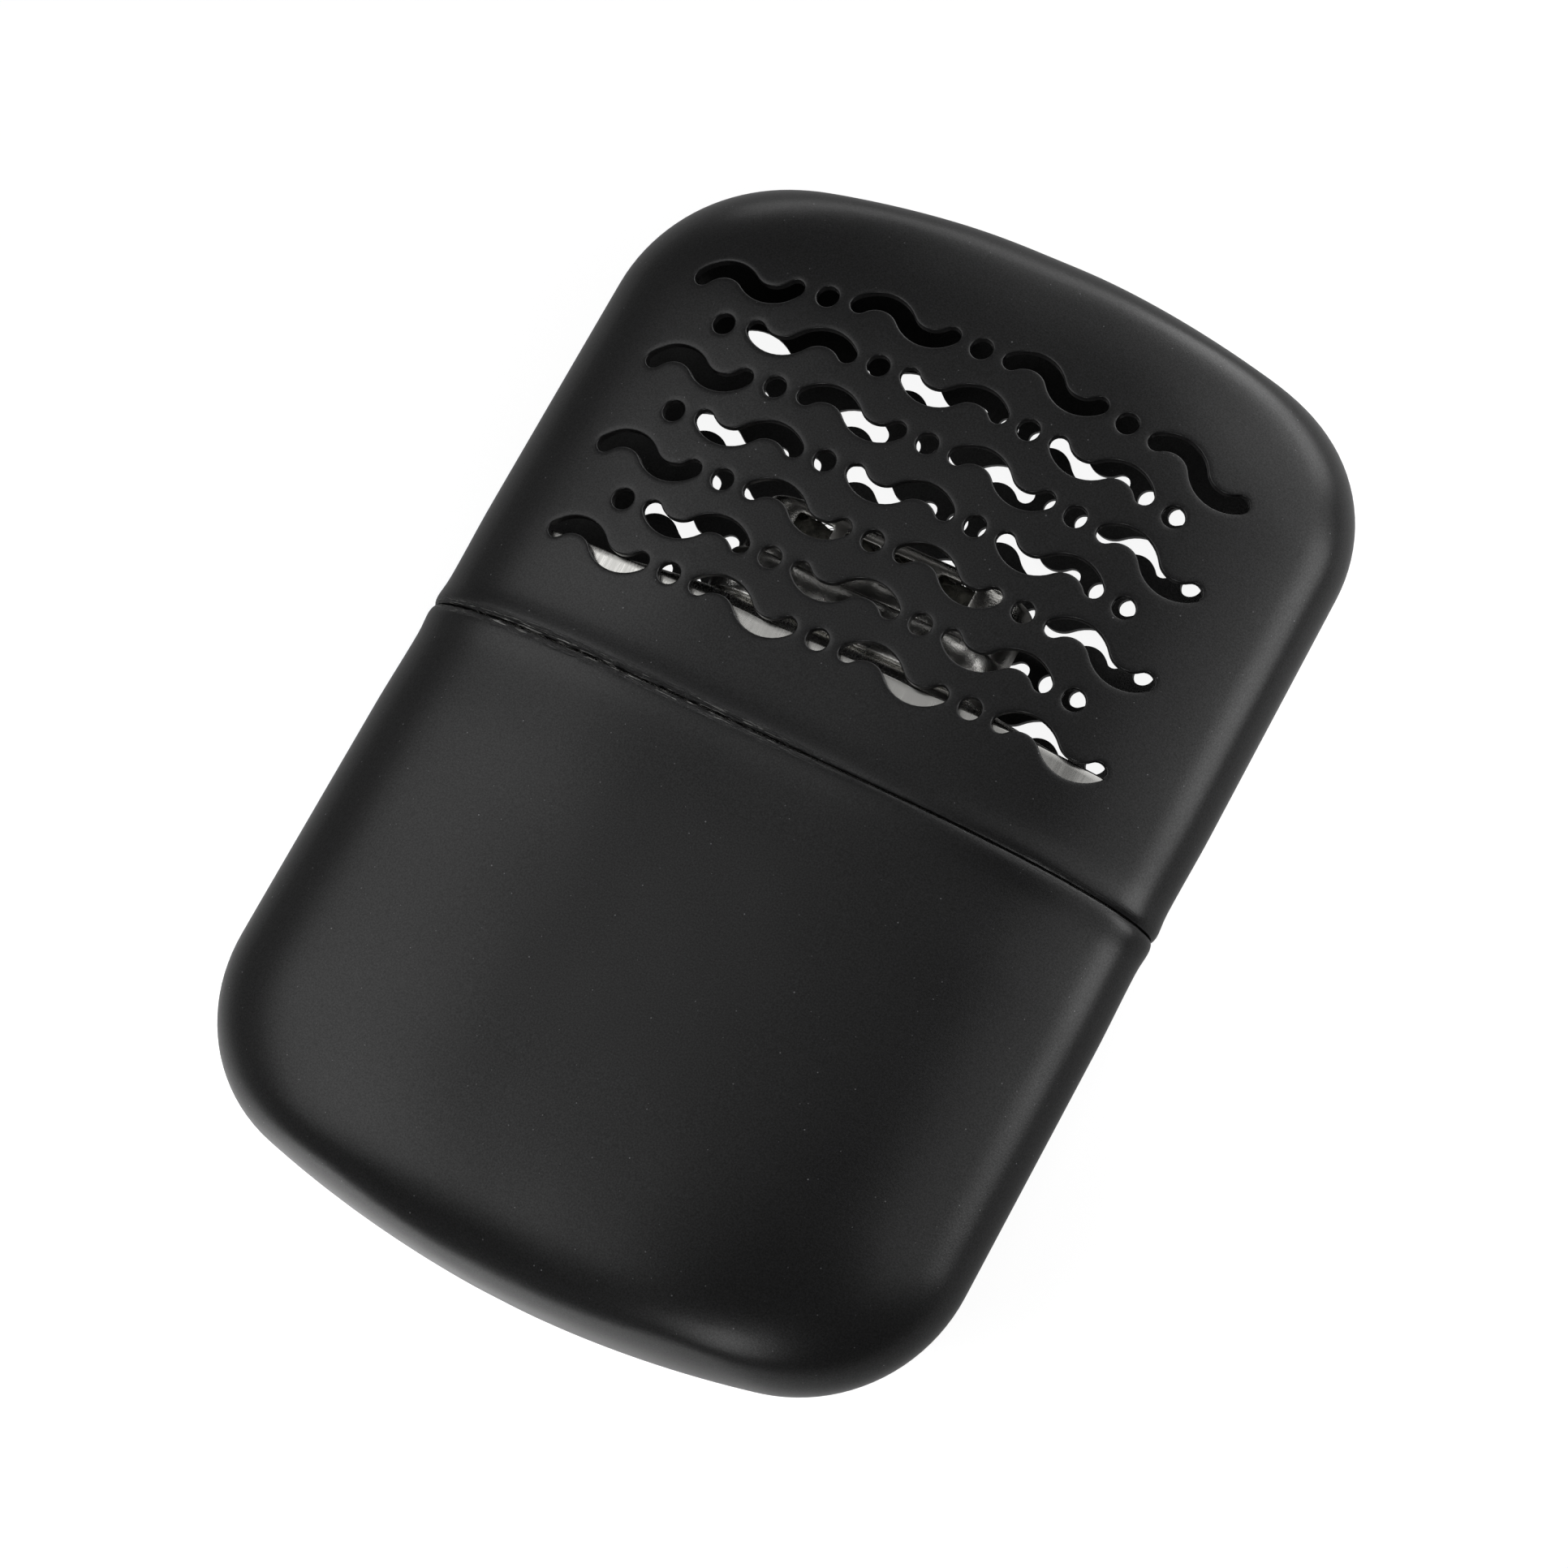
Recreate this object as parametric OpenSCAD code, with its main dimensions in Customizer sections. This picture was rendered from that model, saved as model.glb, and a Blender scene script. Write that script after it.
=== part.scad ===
/* [Case] */
// Width of the closed case, across the palm
case_w = 68; // [64:1:74]
// Thickness of the closed case, front face to back face
case_t = 17.3; // [16.5:0.1:20]
// Length of the cap, from the seam to its far end
cap_len = 49.1; // [46:0.1:58]
// Length of the tank, from the seam to its foot
tank_len = 48.7; // [44:0.1:58]
// Radius of the four corners, seen from the front
corner_r = 14.3; // [11:0.1:17]
// Radius of the shallow arch of each end, seen from the front
arch_r = 97.7; // [80:0.1:200]
// Thickness of the drawn sheet of the cap and the tank
sheet = 0.6; // [0.5:0.05:0.8]

/* [Crown of the faces] */
// Width of the flat strip along the middle of each face
land_w = 12; // [8:1:20]
// Length of the flat strip along the middle of each face
land_len = 40; // [30:1:50]
// How late the face turns down towards the sides
side_power = 2.76; // [2.4:0.02:3.4]
// How full the side edge is
side_fullness = 2; // [1.6:0.05:2.2]
// How late the face turns down towards the ends
end_power = 3.86; // [3.4:0.02:4.8]
// How full the end edge is
end_fullness = 3.18; // [2.4:0.02:3.4]

/* [Seam] */
// Gap between the cap's rim and the tank's rim when closed
seam_gap = 0.12; // [0.05:0.01:0.3]
// How far both rims are drawn in at the seam
rim_roll = 0.22; // [0.1:0.02:0.3]
// Length of the drawn in stretch of each rim
rim_roll_len = 2.6; // [1.6:0.1:4]

/* [Vents] */
// Width of the wavy slots
slot_w = 1.6; // [1.2:0.1:1.7]
// Radius of each of the two bends of a wavy slot, at mid slot
bend_r = 2.8; // [2.4:0.1:3]
// Angle that each bend turns through
bend_angle = 96; // [70:1:100]
// Diameter of the round holes between the slots
dot_d = 1.9; // [1.4:0.1:2.1]
// Distance between neighbouring slots of a row
wave_pitch = 14; // [13.8:0.1:15]
// Number of slots in the longer rows
row_waves = 4; // [2:1:4]
// Distance from one row to the next
row_pitch = 4.7; // [4.5:0.1:4.9]
// Number of rows
vent_rows = 7; // [2:1:7]
// Height of the first row above the seam
first_row = 9; // [7:0.1:10]

/* [Tank mouth] */
// Height of the collar that the cap slides on, above the seam
collar_h = 9; // [7:0.5:10]
// Depth of the collar inside the tank, below the seam
collar_depth = 6; // [4:0.5:8]
// Clearance between the collar and the rims of the cap and the tank
collar_gap = 0.08; // [0.05:0.01:0.15]
// Thickness of the collar's and the top plate's sheet
inner_sheet = 0.5; // [0.4:0.05:0.7]
// How far the collar's raw edge stands above the top plate's rim
collar_lip = 0.8; // [0.5:0.1:1.5]
// Rise of the domed top plate, from its rim to the neck
dome_rise = 2.4; // [1.5:0.1:3]
// Width of the oval filler neck
neck_w = 26; // [22:0.5:30]
// Thickness of the oval filler neck
neck_t = 9.4; // [8:0.2:10]
// Height of the filler neck above the top plate
neck_h = 4; // [3.5:0.1:5]
// Depth of the filler neck below the top plate
neck_depth = 2; // [1:0.1:3]

/* [Filling] */
// Free space between the cotton filling and the metal round it
filling_gap = 0.3; // [0.2:0.05:0.6]
// How far the felt in the mouth lies below the neck's edge
felt_drop = 0.5; // [0.3:0.1:1]

/* [Burner] */
// Clearance between the burner's skirt and the neck
skirt_gap = 0.1; // [0.06:0.01:0.15]
// Thickness of the burner's sheet
burner_sheet = 0.4; // [0.3:0.05:0.5]
// Height of the cage over the catalyst, outside
cage_h = 5.6; // [4.5:0.1:7]
// How far the cage stands in from the neck's outline all round
cage_step = 0.5; // [0.4:0.1:1]
// Number of windows along the cage
cage_windows = 4; // [2:1:5]
// Width of the bars between the windows
cage_bar = 1.1; // [0.8:0.1:1.5]
// Height of the sill under the side windows
cage_sill = 1.4; // [1:0.1:2]
// Number of holes along the gauze plate under the catalyst
gauze_holes = 16; // [8:1:18]
// Diameter of the holes in the gauze plate
gauze_hole_d = 0.8; // [0.6:0.05:0.9]

/* [Hidden] */

// The case lies on its back: X across it, Y along it with the cap at +Y, Z up through it.
half_w = case_w / 2;
half_t = case_t / 2;
half_len = (cap_len + tank_len) / 2;
seam_y = tank_len - half_len;
mid_z = half_t;

// How many steps round a quarter of the case, along the rolled rim, the body and the end
quarter_steps = 13;
ring_points = 4 * quarter_steps + 2;
roll_steps = 3;
body_steps = 3;
end_steps = 8;
fine = 64;
small_round = 24;
// Depth of the small flat at the very tip of each end, and how the rings crowd towards it
tip_flat = 0.02;
end_crowding = 2.2;

// ---- The form of the case ----

function power(x, n) = x <= 0 ? 0 : pow(x, n);

// Half width of the outline at a distance u from mid length, for a half width w and half length h
function arch_centre(h) = h - arch_r;
function corner_y(w, h) = arch_centre(h) + sqrt(pow(arch_r - corner_r, 2) - pow(w - corner_r, 2));
function tangent_y(w, h) =
    arch_centre(h) + arch_r * (corner_y(w, h) - arch_centre(h)) / (arch_r - corner_r);
function outline_half_w(u, w, h) =
    u <= corner_y(w, h) ? w :
    u <= tangent_y(w, h) ? w - corner_r + sqrt(max(0, pow(corner_r, 2) - pow(u - corner_y(w, h), 2))) :
    sqrt(max(0, pow(arch_r, 2) - pow(u - arch_centre(h), 2)));

// Half thickness of the case at a distance u from mid length
function crown_half_t(u, t, h) =
    t * power(1 - power((u - land_len / 2) / (h - land_len / 2), end_power), 1 / end_fullness);

// One ring of the case's section at a place y along it, for a half width a and half thickness b:
// a quarter runs from the side edge to the flat strip of a face, and the other three mirror it
function quarter(a, b) =
    let (flat = land_w / 2 * a / half_w)
    [for (i = [0:quarter_steps])
        let (turn = 90 * i / quarter_steps)
        [flat + (a - flat) * power(cos(turn), 2 / side_power), b * power(sin(turn), 2 / side_fullness)]];
function mirrored(q) =
    let (n = quarter_steps)
    concat(
        [for (i = [0:n]) [q[i][0], mid_z + q[i][1]]],
        [for (i = [0:n]) [-q[n - i][0], mid_z + q[n - i][1]]],
        [for (i = [1:n]) [-q[i][0], mid_z - q[i][1]]],
        [for (i = [0:n - 1]) [q[n - i][0], mid_z - q[n - i][1]]]);
function section_xz(a, b) = mirrored(quarter(a, b));
function section(a, b, y) = [for (p = section_xz(a, b)) [p[0], y, p[1]]];

// How far a rim is drawn in at a distance d from its edge
function rolled(d) = d >= rim_roll_len ? 0 : rim_roll * pow(1 - d / rim_roll_len, 2);

// Rings of one drawn half of the case, from its rim at the seam to its end: dir is 1 for the cap
// and -1 for the tank, and inset is the distance inside the outer face
function half_ring(u, dir, inset, roll) =
    let (w = half_w - inset, t = half_t - inset, h = half_len - inset)
    section(outline_half_w(u, w, h) - roll, crown_half_t(u, t, h) - roll, dir * u);

function end_stations(from, h) =
    [for (k = [1:end_steps]) from + (h - tip_flat - from) * (1 - pow(1 - k / end_steps, end_crowding))];
function half_rings(dir, inset) =
    let (h = half_len - inset,
         rim = dir * seam_y + seam_gap / 2,
         straight = land_len / 2,
         turn = corner_y(half_w - inset, h))
    concat(
        [for (k = [0:roll_steps]) let (d = rim_roll_len * k / roll_steps)
            half_ring(rim + d, dir, inset, rolled(d))],
        [for (k = [0:body_steps]) half_ring(straight + (turn - straight) * k / body_steps, dir, inset, 0)],
        [for (u = end_stations(turn, h)) half_ring(u, dir, inset, 0)]);

// A closed solid between two stacks of rings of equal length that are joined at their first ring
// and each closed by a fan over its last
function flat_list(lists) = [for (l = lists) for (p = l) p];
function tube_faces(rings, n, base, out) =
    [for (r = [0:rings - 2]) for (i = [0:n - 1])
        let (a = base + r * n + i, b = base + r * n + (i + 1) % n, c = a + n, d = b + n)
        each out ? [[a, b, c], [b, d, c]] : [[a, c, b], [b, c, d]]];
function fan_faces(first, n, out) =
    [for (i = [1:n - 2]) out ? [first, first + i, first + i + 1] : [first, first + i + 1, first + i]];

module cup(outer, inner, flip) {
    n = len(outer[0]);
    rings = len(outer);
    inner_base = rings * n;
    points = flat_list(concat(outer, inner));
    faces = concat(
        tube_faces(rings, n, 0, !flip),
        fan_faces((rings - 1) * n, n, !flip),
        tube_faces(rings, n, inner_base, flip),
        fan_faces(inner_base + (rings - 1) * n, n, flip),
        [for (i = [0:n - 1])
            let (a = i, b = (i + 1) % n, c = inner_base + i, d = inner_base + (i + 1) % n)
            each flip ? [[a, b, c], [b, d, c]] : [[a, c, b], [b, c, d]]]);
    polyhedron(points = points, faces = faces);
}

// A prism along Y whose section is the case's own, brought in by inset
module case_prism(inset, y0, y1) {
    translate([0, y1, 0]) rotate([90, 0, 0])
        linear_extrude(y1 - y0) polygon(section_xz(half_w - inset, half_t - inset));
}

// An oval prism along Y: a flat body with half round sides
module oval_prism(w, t, y0, y1) {
    translate([0, y1, mid_z]) rotate([90, 0, 0]) linear_extrude(y1 - y0) oval(w, t);
}
module oval(w, t) {
    square([w - t, t], center = true);
    for (side = [-1, 1]) translate([side * (w - t) / 2, 0]) circle(d = t, $fn = fine);
}

// ---- Places along the case, and the hairline gap that solder fills between tank pieces ----
solder_gap = 0.05;
collar_inset = sheet + rim_roll + collar_gap;
plate_inset = collar_inset + inner_sheet + solder_gap;
collar_top = seam_y + collar_h;
plate_rim_y = collar_top - collar_lip;
dome_top_y = plate_rim_y + dome_rise;
neck_top = dome_top_y + neck_h;

// ---- Tank ----
module tank_shell() {
    color("#1c1c1d") cup(half_rings(-1, 0), half_rings(-1, sheet), true);
}

module tank_collar() {
    color("silver") difference() {
        case_prism(collar_inset, seam_y - collar_depth, collar_top);
        case_prism(collar_inset + inner_sheet, seam_y - collar_depth - 1, collar_top + 1);
    }
}

// The top plate runs from the collar's section up to the neck's oval
dome_steps = 8;
function oval_quarter(w, t) =
    [for (i = [0:quarter_steps])
        let (turn = 90 * i / quarter_steps)
        [(w - t) / 2 + t / 2 * cos(turn), t / 2 * sin(turn)]];
function oval_ring(w, t) = mirrored(oval_quarter(w, t));
function dome_ring(k, lift) =
    let (s = k / dome_steps,
         y = plate_rim_y + dome_rise * sin(90 * s) + lift,
         rim = section_xz(half_w - plate_inset, half_t - plate_inset),
         hole = oval_ring(neck_w + 2 * solder_gap, neck_t + 2 * solder_gap))
    [for (i = [0:ring_points - 1])
        let (p = rim[i] + (hole[i] - rim[i]) * s)
        [p[0], y, p[1]]];

module tank_top() {
    n = ring_points;
    top = [for (k = [0:dome_steps]) dome_ring(k, 0)];
    under = [for (k = [0:dome_steps]) dome_ring(k, -inner_sheet)];
    base = (dome_steps + 1) * n;
    last = dome_steps * n;
    faces = concat(
        tube_faces(dome_steps + 1, n, 0, true),
        tube_faces(dome_steps + 1, n, base, false),
        [for (i = [0:n - 1]) let (a = i, b = (i + 1) % n) each [[a, base + a, b], [b, base + a, base + b]]],
        [for (i = [0:n - 1]) let (a = last + i, b = last + (i + 1) % n)
            each [[a, b, base + a], [b, base + b, base + a]]]);
    color("gainsboro") polyhedron(points = flat_list(concat(top, under)), faces = faces);
}

module filler_neck() {
    color("silver") difference() {
        oval_prism(neck_w, neck_t, dome_top_y - neck_depth, neck_top);
        oval_prism(neck_w - 2 * inner_sheet, neck_t - 2 * inner_sheet,
                   dome_top_y - neck_depth - 1, neck_top + 1);
    }
}

// ---- Filling ----
module fuel_wadding() {
    inset = sheet + filling_gap;
    collar_bore = collar_inset + inner_sheet + filling_gap;
    top_y = plate_rim_y - inner_sheet - filling_gap;
    shoulder_y = seam_y - collar_depth - filling_gap;
    color("ivory") union() {
        filling_body(inset, shoulder_y);
        case_prism(collar_bore, shoulder_y - 1, top_y);
    }
}

// The part of the filling below the collar follows the tank's own form
module filling_body(inset, top) {
    n = ring_points;
    h = half_len - inset;
    turn = corner_y(half_w - inset, h);
    straight = land_len / 2;
    rings = concat(
        [half_ring(-top, -1, inset, 0)],
        [for (k = [0:body_steps]) half_ring(straight + (turn - straight) * k / body_steps, -1, inset, 0)],
        [for (u = end_stations(turn, h)) half_ring(u, -1, inset, 0)]);
    count = len(rings);
    faces = concat(
        tube_faces(count, n, 0, false),
        fan_faces((count - 1) * n, n, false),
        [for (i = [1:n - 2]) [0, i, i + 1]]);
    polyhedron(points = flat_list(rings), faces = faces);
}

module mouth_felt() {
    margin = inner_sheet + filling_gap / 2;
    color("white")
        oval_prism(neck_w - 2 * margin, neck_t - 2 * margin,
                   dome_top_y - neck_depth, neck_top - felt_drop);
}

// ---- Burner ----
skirt_lift = 0.3;
skirt_low = dome_top_y + skirt_lift;
skirt_in_w = neck_w + 2 * skirt_gap;
skirt_in_t = neck_t + 2 * skirt_gap;
deck_low = neck_top + skirt_gap;
deck_top = deck_low + burner_sheet;
cage_w = neck_w - 2 * cage_step;
cage_t = neck_t - 2 * cage_step;
deck_ledge = 1.5;
window_w = cage_w - 2 * deck_ledge;
window_t = cage_t - 2 * deck_ledge;

module burner_skirt() {
    color("lightgrey") difference() {
        oval_prism(skirt_in_w + 2 * burner_sheet, skirt_in_t + 2 * burner_sheet, skirt_low, deck_top);
        oval_prism(skirt_in_w, skirt_in_t, skirt_low - 1, deck_low);
        oval_prism(window_w, window_t, deck_low - 1, deck_top + 1);
        for (side = [-1, 1]) for (face = [-1, 1]) tab_slot(side, face);
    }
}

// Four tabs of the cage pass through slots in the deck
tab_w = 2;
tab_from_end = 5;
tab_x = cage_w / 2 - tab_from_end;
tab_fit = 0.1;
module tab_slot(side, face) {
    translate([side * tab_x - tab_w / 2 - tab_fit, deck_low - 1,
               mid_z + face * (cage_t - burner_sheet) / 2 - burner_sheet / 2 - tab_fit])
        cube([tab_w + 2 * tab_fit, burner_sheet + 2, burner_sheet + 2 * tab_fit]);
}

module cage_tab(side, face) {
    translate([side * tab_x - tab_w / 2, deck_low,
               mid_z + face * (cage_t - burner_sheet) / 2 - burner_sheet / 2])
        cube([tab_w, deck_top - deck_low + tab_w / 2, burner_sheet]);
}

cage_in_w = cage_w - 2 * burner_sheet;
cage_in_t = cage_t - 2 * burner_sheet;
gauze_t = 0.3;
gauze_gap = 0.2;
gauze_top = deck_top + gauze_t;
gauze_rows = 3;
module burner_gauze() {
    pitch = (window_w - gauze_hole_d) / gauze_holes;
    row_step = window_t / (gauze_rows + 0.5);
    color("dimgray") difference() {
        oval_prism(cage_in_w - 2 * gauze_gap, cage_in_t - 2 * gauze_gap, deck_top, gauze_top);
        for (i = [0:gauze_holes - 1]) for (row = [0:gauze_rows - 1])
            translate([(i - (gauze_holes - 1) / 2) * pitch, deck_top - 1,
                       mid_z + (row - (gauze_rows - 1) / 2) * row_step])
                rotate([-90, 0, 0]) cylinder(d = gauze_hole_d, h = gauze_t + 2, $fn = small_round);
    }
}

mat_gap = 0.25;
mat_w = cage_in_w - 2 * mat_gap;
mat_t = cage_in_t - 2 * mat_gap;
mat_low = gauze_top;
mat_top = deck_top + cage_h - burner_sheet - mat_gap;
module catalyst_mat() {
    color("gray") oval_prism(mat_w, mat_t, mat_low, mat_top);
}

// The cage is open in windows along both sides and along its top
cage_top = deck_top + cage_h;
cage_brow = 1.2;
cage_edge = 0.8;
module burner_cage() {
    run = cage_w - cage_t;
    pitch = (run + cage_bar) / cage_windows;
    open_w = pitch - cage_bar;
    color("silver") {
        difference() {
            oval_prism(cage_w, cage_t, deck_top, cage_top);
            oval_prism(cage_in_w, cage_in_t, deck_top - 1, cage_top - burner_sheet);
            for (i = [0:cage_windows - 1])
                translate([(i - (cage_windows - 1) / 2) * pitch - open_w / 2, 0, mid_z]) {
                    translate([0, deck_top + cage_sill, -cage_t])
                        cube([open_w, cage_h - cage_sill - cage_brow, 2 * cage_t]);
                    translate([0, cage_top - 1, cage_edge - cage_in_t / 2])
                        cube([open_w, 2, cage_in_t - 2 * cage_edge]);
                }
        }
        for (side = [-1, 1]) for (face = [-1, 1]) cage_tab(side, face);
    }
}

// ---- Cap ----
// A bend of a slot: an arch of radius bend_r that stands on the X axis, with round ends
bend_chord = 2 * bend_r * sin(bend_angle / 2);
bend_drop = bend_r * cos(bend_angle / 2);
module bend() {
    reach = 2 * bend_r;
    translate([0, -bend_drop]) intersection() {
        difference() {
            circle(r = bend_r + slot_w / 2, $fn = fine);
            circle(r = bend_r - slot_w / 2, $fn = fine);
        }
        polygon([[0, 0], [-reach * sin(bend_angle / 2), reach * cos(bend_angle / 2)],
                 [-reach, 2 * reach], [reach, 2 * reach],
                 [reach * sin(bend_angle / 2), reach * cos(bend_angle / 2)]]);
    }
    for (side = [-1, 1]) translate([side * bend_chord / 2, 0]) circle(d = slot_w, $fn = small_round);
}

// A wavy slot: one bend up and one down, or the other way round in every second row
module wave(flip) {
    for (side = [-1, 1]) translate([side * bend_chord / 2, 0])
        mirror([0, side * flip > 0 ? 1 : 0]) bend();
}

// Every row bows a little more than the one below, towards the arch of the case's end
function row_bow(row) = row / (vent_rows - 1) / (2 * arch_r);
module on_row(row, x) {
    bow = row_bow(row);
    translate([x, seam_y + first_row + row * row_pitch - bow * x * x]) rotate(-atan(2 * bow * x)) children();
}

module vents() {
    for (row = [0:vent_rows - 1]) {
        waves = row_waves - row % 2;
        dots = row_waves - 1 + row % 2;
        for (i = [0:waves - 1])
            on_row(row, (i - (waves - 1) / 2) * wave_pitch) wave(row % 2 == 0 ? 1 : -1);
        for (i = [0:dots - 1])
            on_row(row, (i - (dots - 1) / 2) * wave_pitch) circle(d = dot_d, $fn = small_round);
    }
}

module cap_shell() {
    color("#1c1c1d") difference() {
        cup(half_rings(1, 0), half_rings(1, sheet), false);
        translate([0, 0, -1]) linear_extrude(case_t + 2) vents();
    }
}

tank_shell();
tank_collar();
tank_top();
filler_neck();
fuel_wadding();
mouth_felt();
burner_skirt();
burner_gauze();
catalyst_mat();
burner_cage();
cap_shell();
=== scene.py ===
import math

import bmesh
import bpy
import numpy as np
from mathutils import Matrix, Vector, noise
from mathutils.geometry import delaunay_2d_cdt


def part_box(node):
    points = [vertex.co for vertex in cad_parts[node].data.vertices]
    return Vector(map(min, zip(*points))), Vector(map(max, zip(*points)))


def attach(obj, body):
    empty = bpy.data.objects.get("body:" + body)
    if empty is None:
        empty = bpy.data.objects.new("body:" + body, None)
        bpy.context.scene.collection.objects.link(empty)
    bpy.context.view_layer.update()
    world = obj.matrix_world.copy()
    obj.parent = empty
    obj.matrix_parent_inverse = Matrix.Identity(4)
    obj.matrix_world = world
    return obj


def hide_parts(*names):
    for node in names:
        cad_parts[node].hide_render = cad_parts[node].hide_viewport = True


bl_info = {
    "name": "Catalytic hand warmer",
    "version": (1, 0, 0),
    "blender": (4, 5, 0),
    "location": "3D View > Sidebar > Hand warmer",
    "description": "Dresses the pieces of a pocket catalytic hand warmer in their real finishes",
    "category": "Object",
}

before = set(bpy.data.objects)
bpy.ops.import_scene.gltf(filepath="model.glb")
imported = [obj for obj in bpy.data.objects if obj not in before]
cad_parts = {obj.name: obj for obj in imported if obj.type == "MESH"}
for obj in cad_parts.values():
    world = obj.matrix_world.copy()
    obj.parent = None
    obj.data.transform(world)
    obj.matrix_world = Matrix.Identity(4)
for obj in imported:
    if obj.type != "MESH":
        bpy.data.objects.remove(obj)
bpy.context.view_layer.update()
MM = 0.001
TANK_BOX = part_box("tank_shell")
CAP_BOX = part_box("cap_shell")
COLLAR_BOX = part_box("tank_collar")
PLATE_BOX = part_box("tank_top")
NECK_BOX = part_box("filler_neck")
FELT_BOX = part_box("mouth_felt")
WADDING_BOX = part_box("fuel_wadding")
SKIRT_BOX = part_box("burner_skirt")
GAUZE_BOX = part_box("burner_gauze")
MAT_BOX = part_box("catalyst_mat")
CAGE_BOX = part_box("burner_cage")


# ---- Sizes and colours that a user would change ----

def length(name, description, millimetres):
    return bpy.props.FloatProperty(
        name=name, description=description, default=millimetres * MM,
        subtype="DISTANCE", unit="LENGTH", precision=5)


def number(name, description, default):
    return bpy.props.FloatProperty(name=name, description=description, default=default)


def colour(name, description, hex_code):
    return bpy.props.StringProperty(name=name, description=description, default=hex_code)


class CaseSizes(bpy.types.PropertyGroup):
    """The form of the drawn case"""
    corner_r: length("Corner radius", "Radius of the four corners, seen from the front", 14.3)
    arch_r: length("Arch radius", "Radius of the shallow arch of each end", 97.7)
    land_w: length("Flat width", "Width of the flat strip along each face", 12)
    land_len: length("Flat length", "Length of the flat strip along each face", 40)
    side_power: number("Side power", "How late the face turns down to the sides", 2.76)
    side_fullness: number("Side fullness", "How full the side edge is", 2.0)
    end_power: number("End power", "How late the face turns down to the ends", 3.86)
    end_fullness: number("End fullness", "How full the end edge is", 3.18)
    sheet: length("Sheet", "Thickness of the drawn sheet", 0.6)
    waist: length("Waist", "How far the sheet stands in beside both rims", 0.13)
    waist_near: length("Waist near end", "Distance from the rim where the waist begins", 0.7)
    waist_deep: length("Waist bottom", "Distance from the rim where the waist is deepest", 2.6)
    waist_far: length("Waist far end", "Distance from the rim where the waist ends", 10)
    rim_fall: length("Rim fall", "How far the painted edge of each rim falls away", 0.26)
    rim_fall_len: length("Rim fall length", "Length of the stretch that falls away", 0.8)
    ragged: length("Ragged paint", "How far the paint's edge is torn along the seam", 0.16)
    ragged_reach: length("Ragged reach", "How far from the seam the torn edge reaches", 0.6)


class VentSizes(bpy.types.PropertyGroup):
    """The pierced ripple pattern of the cap"""
    slot_w: length("Slot width", "Width of the wavy slots", 1.6)
    bend_r: length("Bend radius", "Radius of each bend of a slot at mid slot", 2.8)
    bend_angle: number("Bend angle", "Degrees that each bend turns through", 96)
    dot_d: length("Hole diameter", "Diameter of the round holes between slots", 1.9)
    pitch: length("Pitch", "Distance between neighbouring slots of a row", 14)
    row_pitch: length("Row pitch", "Distance from one row to the next", 4.7)
    first_row: length("First row", "Height of the first row above the seam", 9)
    rows: bpy.props.IntProperty(name="Rows", description="Number of rows", default=7)
    columns: bpy.props.IntProperty(
        name="Columns", description="Slots and holes of a row together", default=7)
    lip_r: length("Lip radius", "Radius of the painted lip round each hole", 0.12)
    lip_sink: length("Lip sink", "How far the sheet sinks towards a punched edge", 0.05)


class InnerSizes(bpy.types.PropertyGroup):
    """Sheet parts of the tank's top and of the burner"""
    plated_sheet: length("Plated sheet", "Thickness of the collar, plate and neck", 0.5)
    burner_sheet: length("Burner sheet", "Thickness of the skirt and the cage", 0.4)
    edge_r: length("Edge radius", "Radius of trimmed sheet edges", 0.09)
    lip_r: length("Lip radius", "Radius of the collar's and the neck's top lips", 0.2)
    dome_rise: length("Dome rise", "How far the plate rises from its rim to the neck", 2.4)
    plate_flange: length("Plate flange", "Height that the plate's rim turns up along the collar", 0.5)
    solder: length("Solder", "Height of the solder round the neck's foot", 0.2)
    shoulder: length("Skirt shoulder", "How far the skirt's shoulder rounds in to its deck", 0.65)
    shoulder_len: length("Shoulder length", "Length of the skirt's round shoulder", 3)
    hem: length("Skirt hem", "How far the skirt's lower edge stands in", 0.12)
    deck_ledge: length("Deck ledge", "Width of the deck inside the cage", 1.5)
    tab_w: length("Tab width", "Width of the cage's four tabs", 2)
    tab_from_end: length("Tab place", "Distance from each tab's middle to the cage's end", 5)
    cage_fillet: length("Cage fillet", "Radius between the cage's wall and its top", 0.8)
    cage_bar: length("Cage bar", "Width of the bars between the windows", 1.1)
    cage_sill: length("Cage sill", "Height of the wall under the windows", 1.4)
    cage_brow: length("Cage brow", "Height of the wall over the windows", 1.2)
    cage_edge: length("Cage edge", "Width of the top beside its windows", 0.8)
    window_r: length("Window radius", "Corner radius of the windows", 0.35)
    cage_windows: bpy.props.IntProperty(
        name="Windows", description="Windows along each side and along the top", default=4)
    gauze_holes: bpy.props.IntProperty(name="Gauze holes", description="Holes of a row", default=16)
    gauze_rows: bpy.props.IntProperty(name="Gauze rows", description="Rows of holes", default=3)
    gauze_hole_d: length("Gauze hole", "Diameter of the holes", 0.8)


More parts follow.
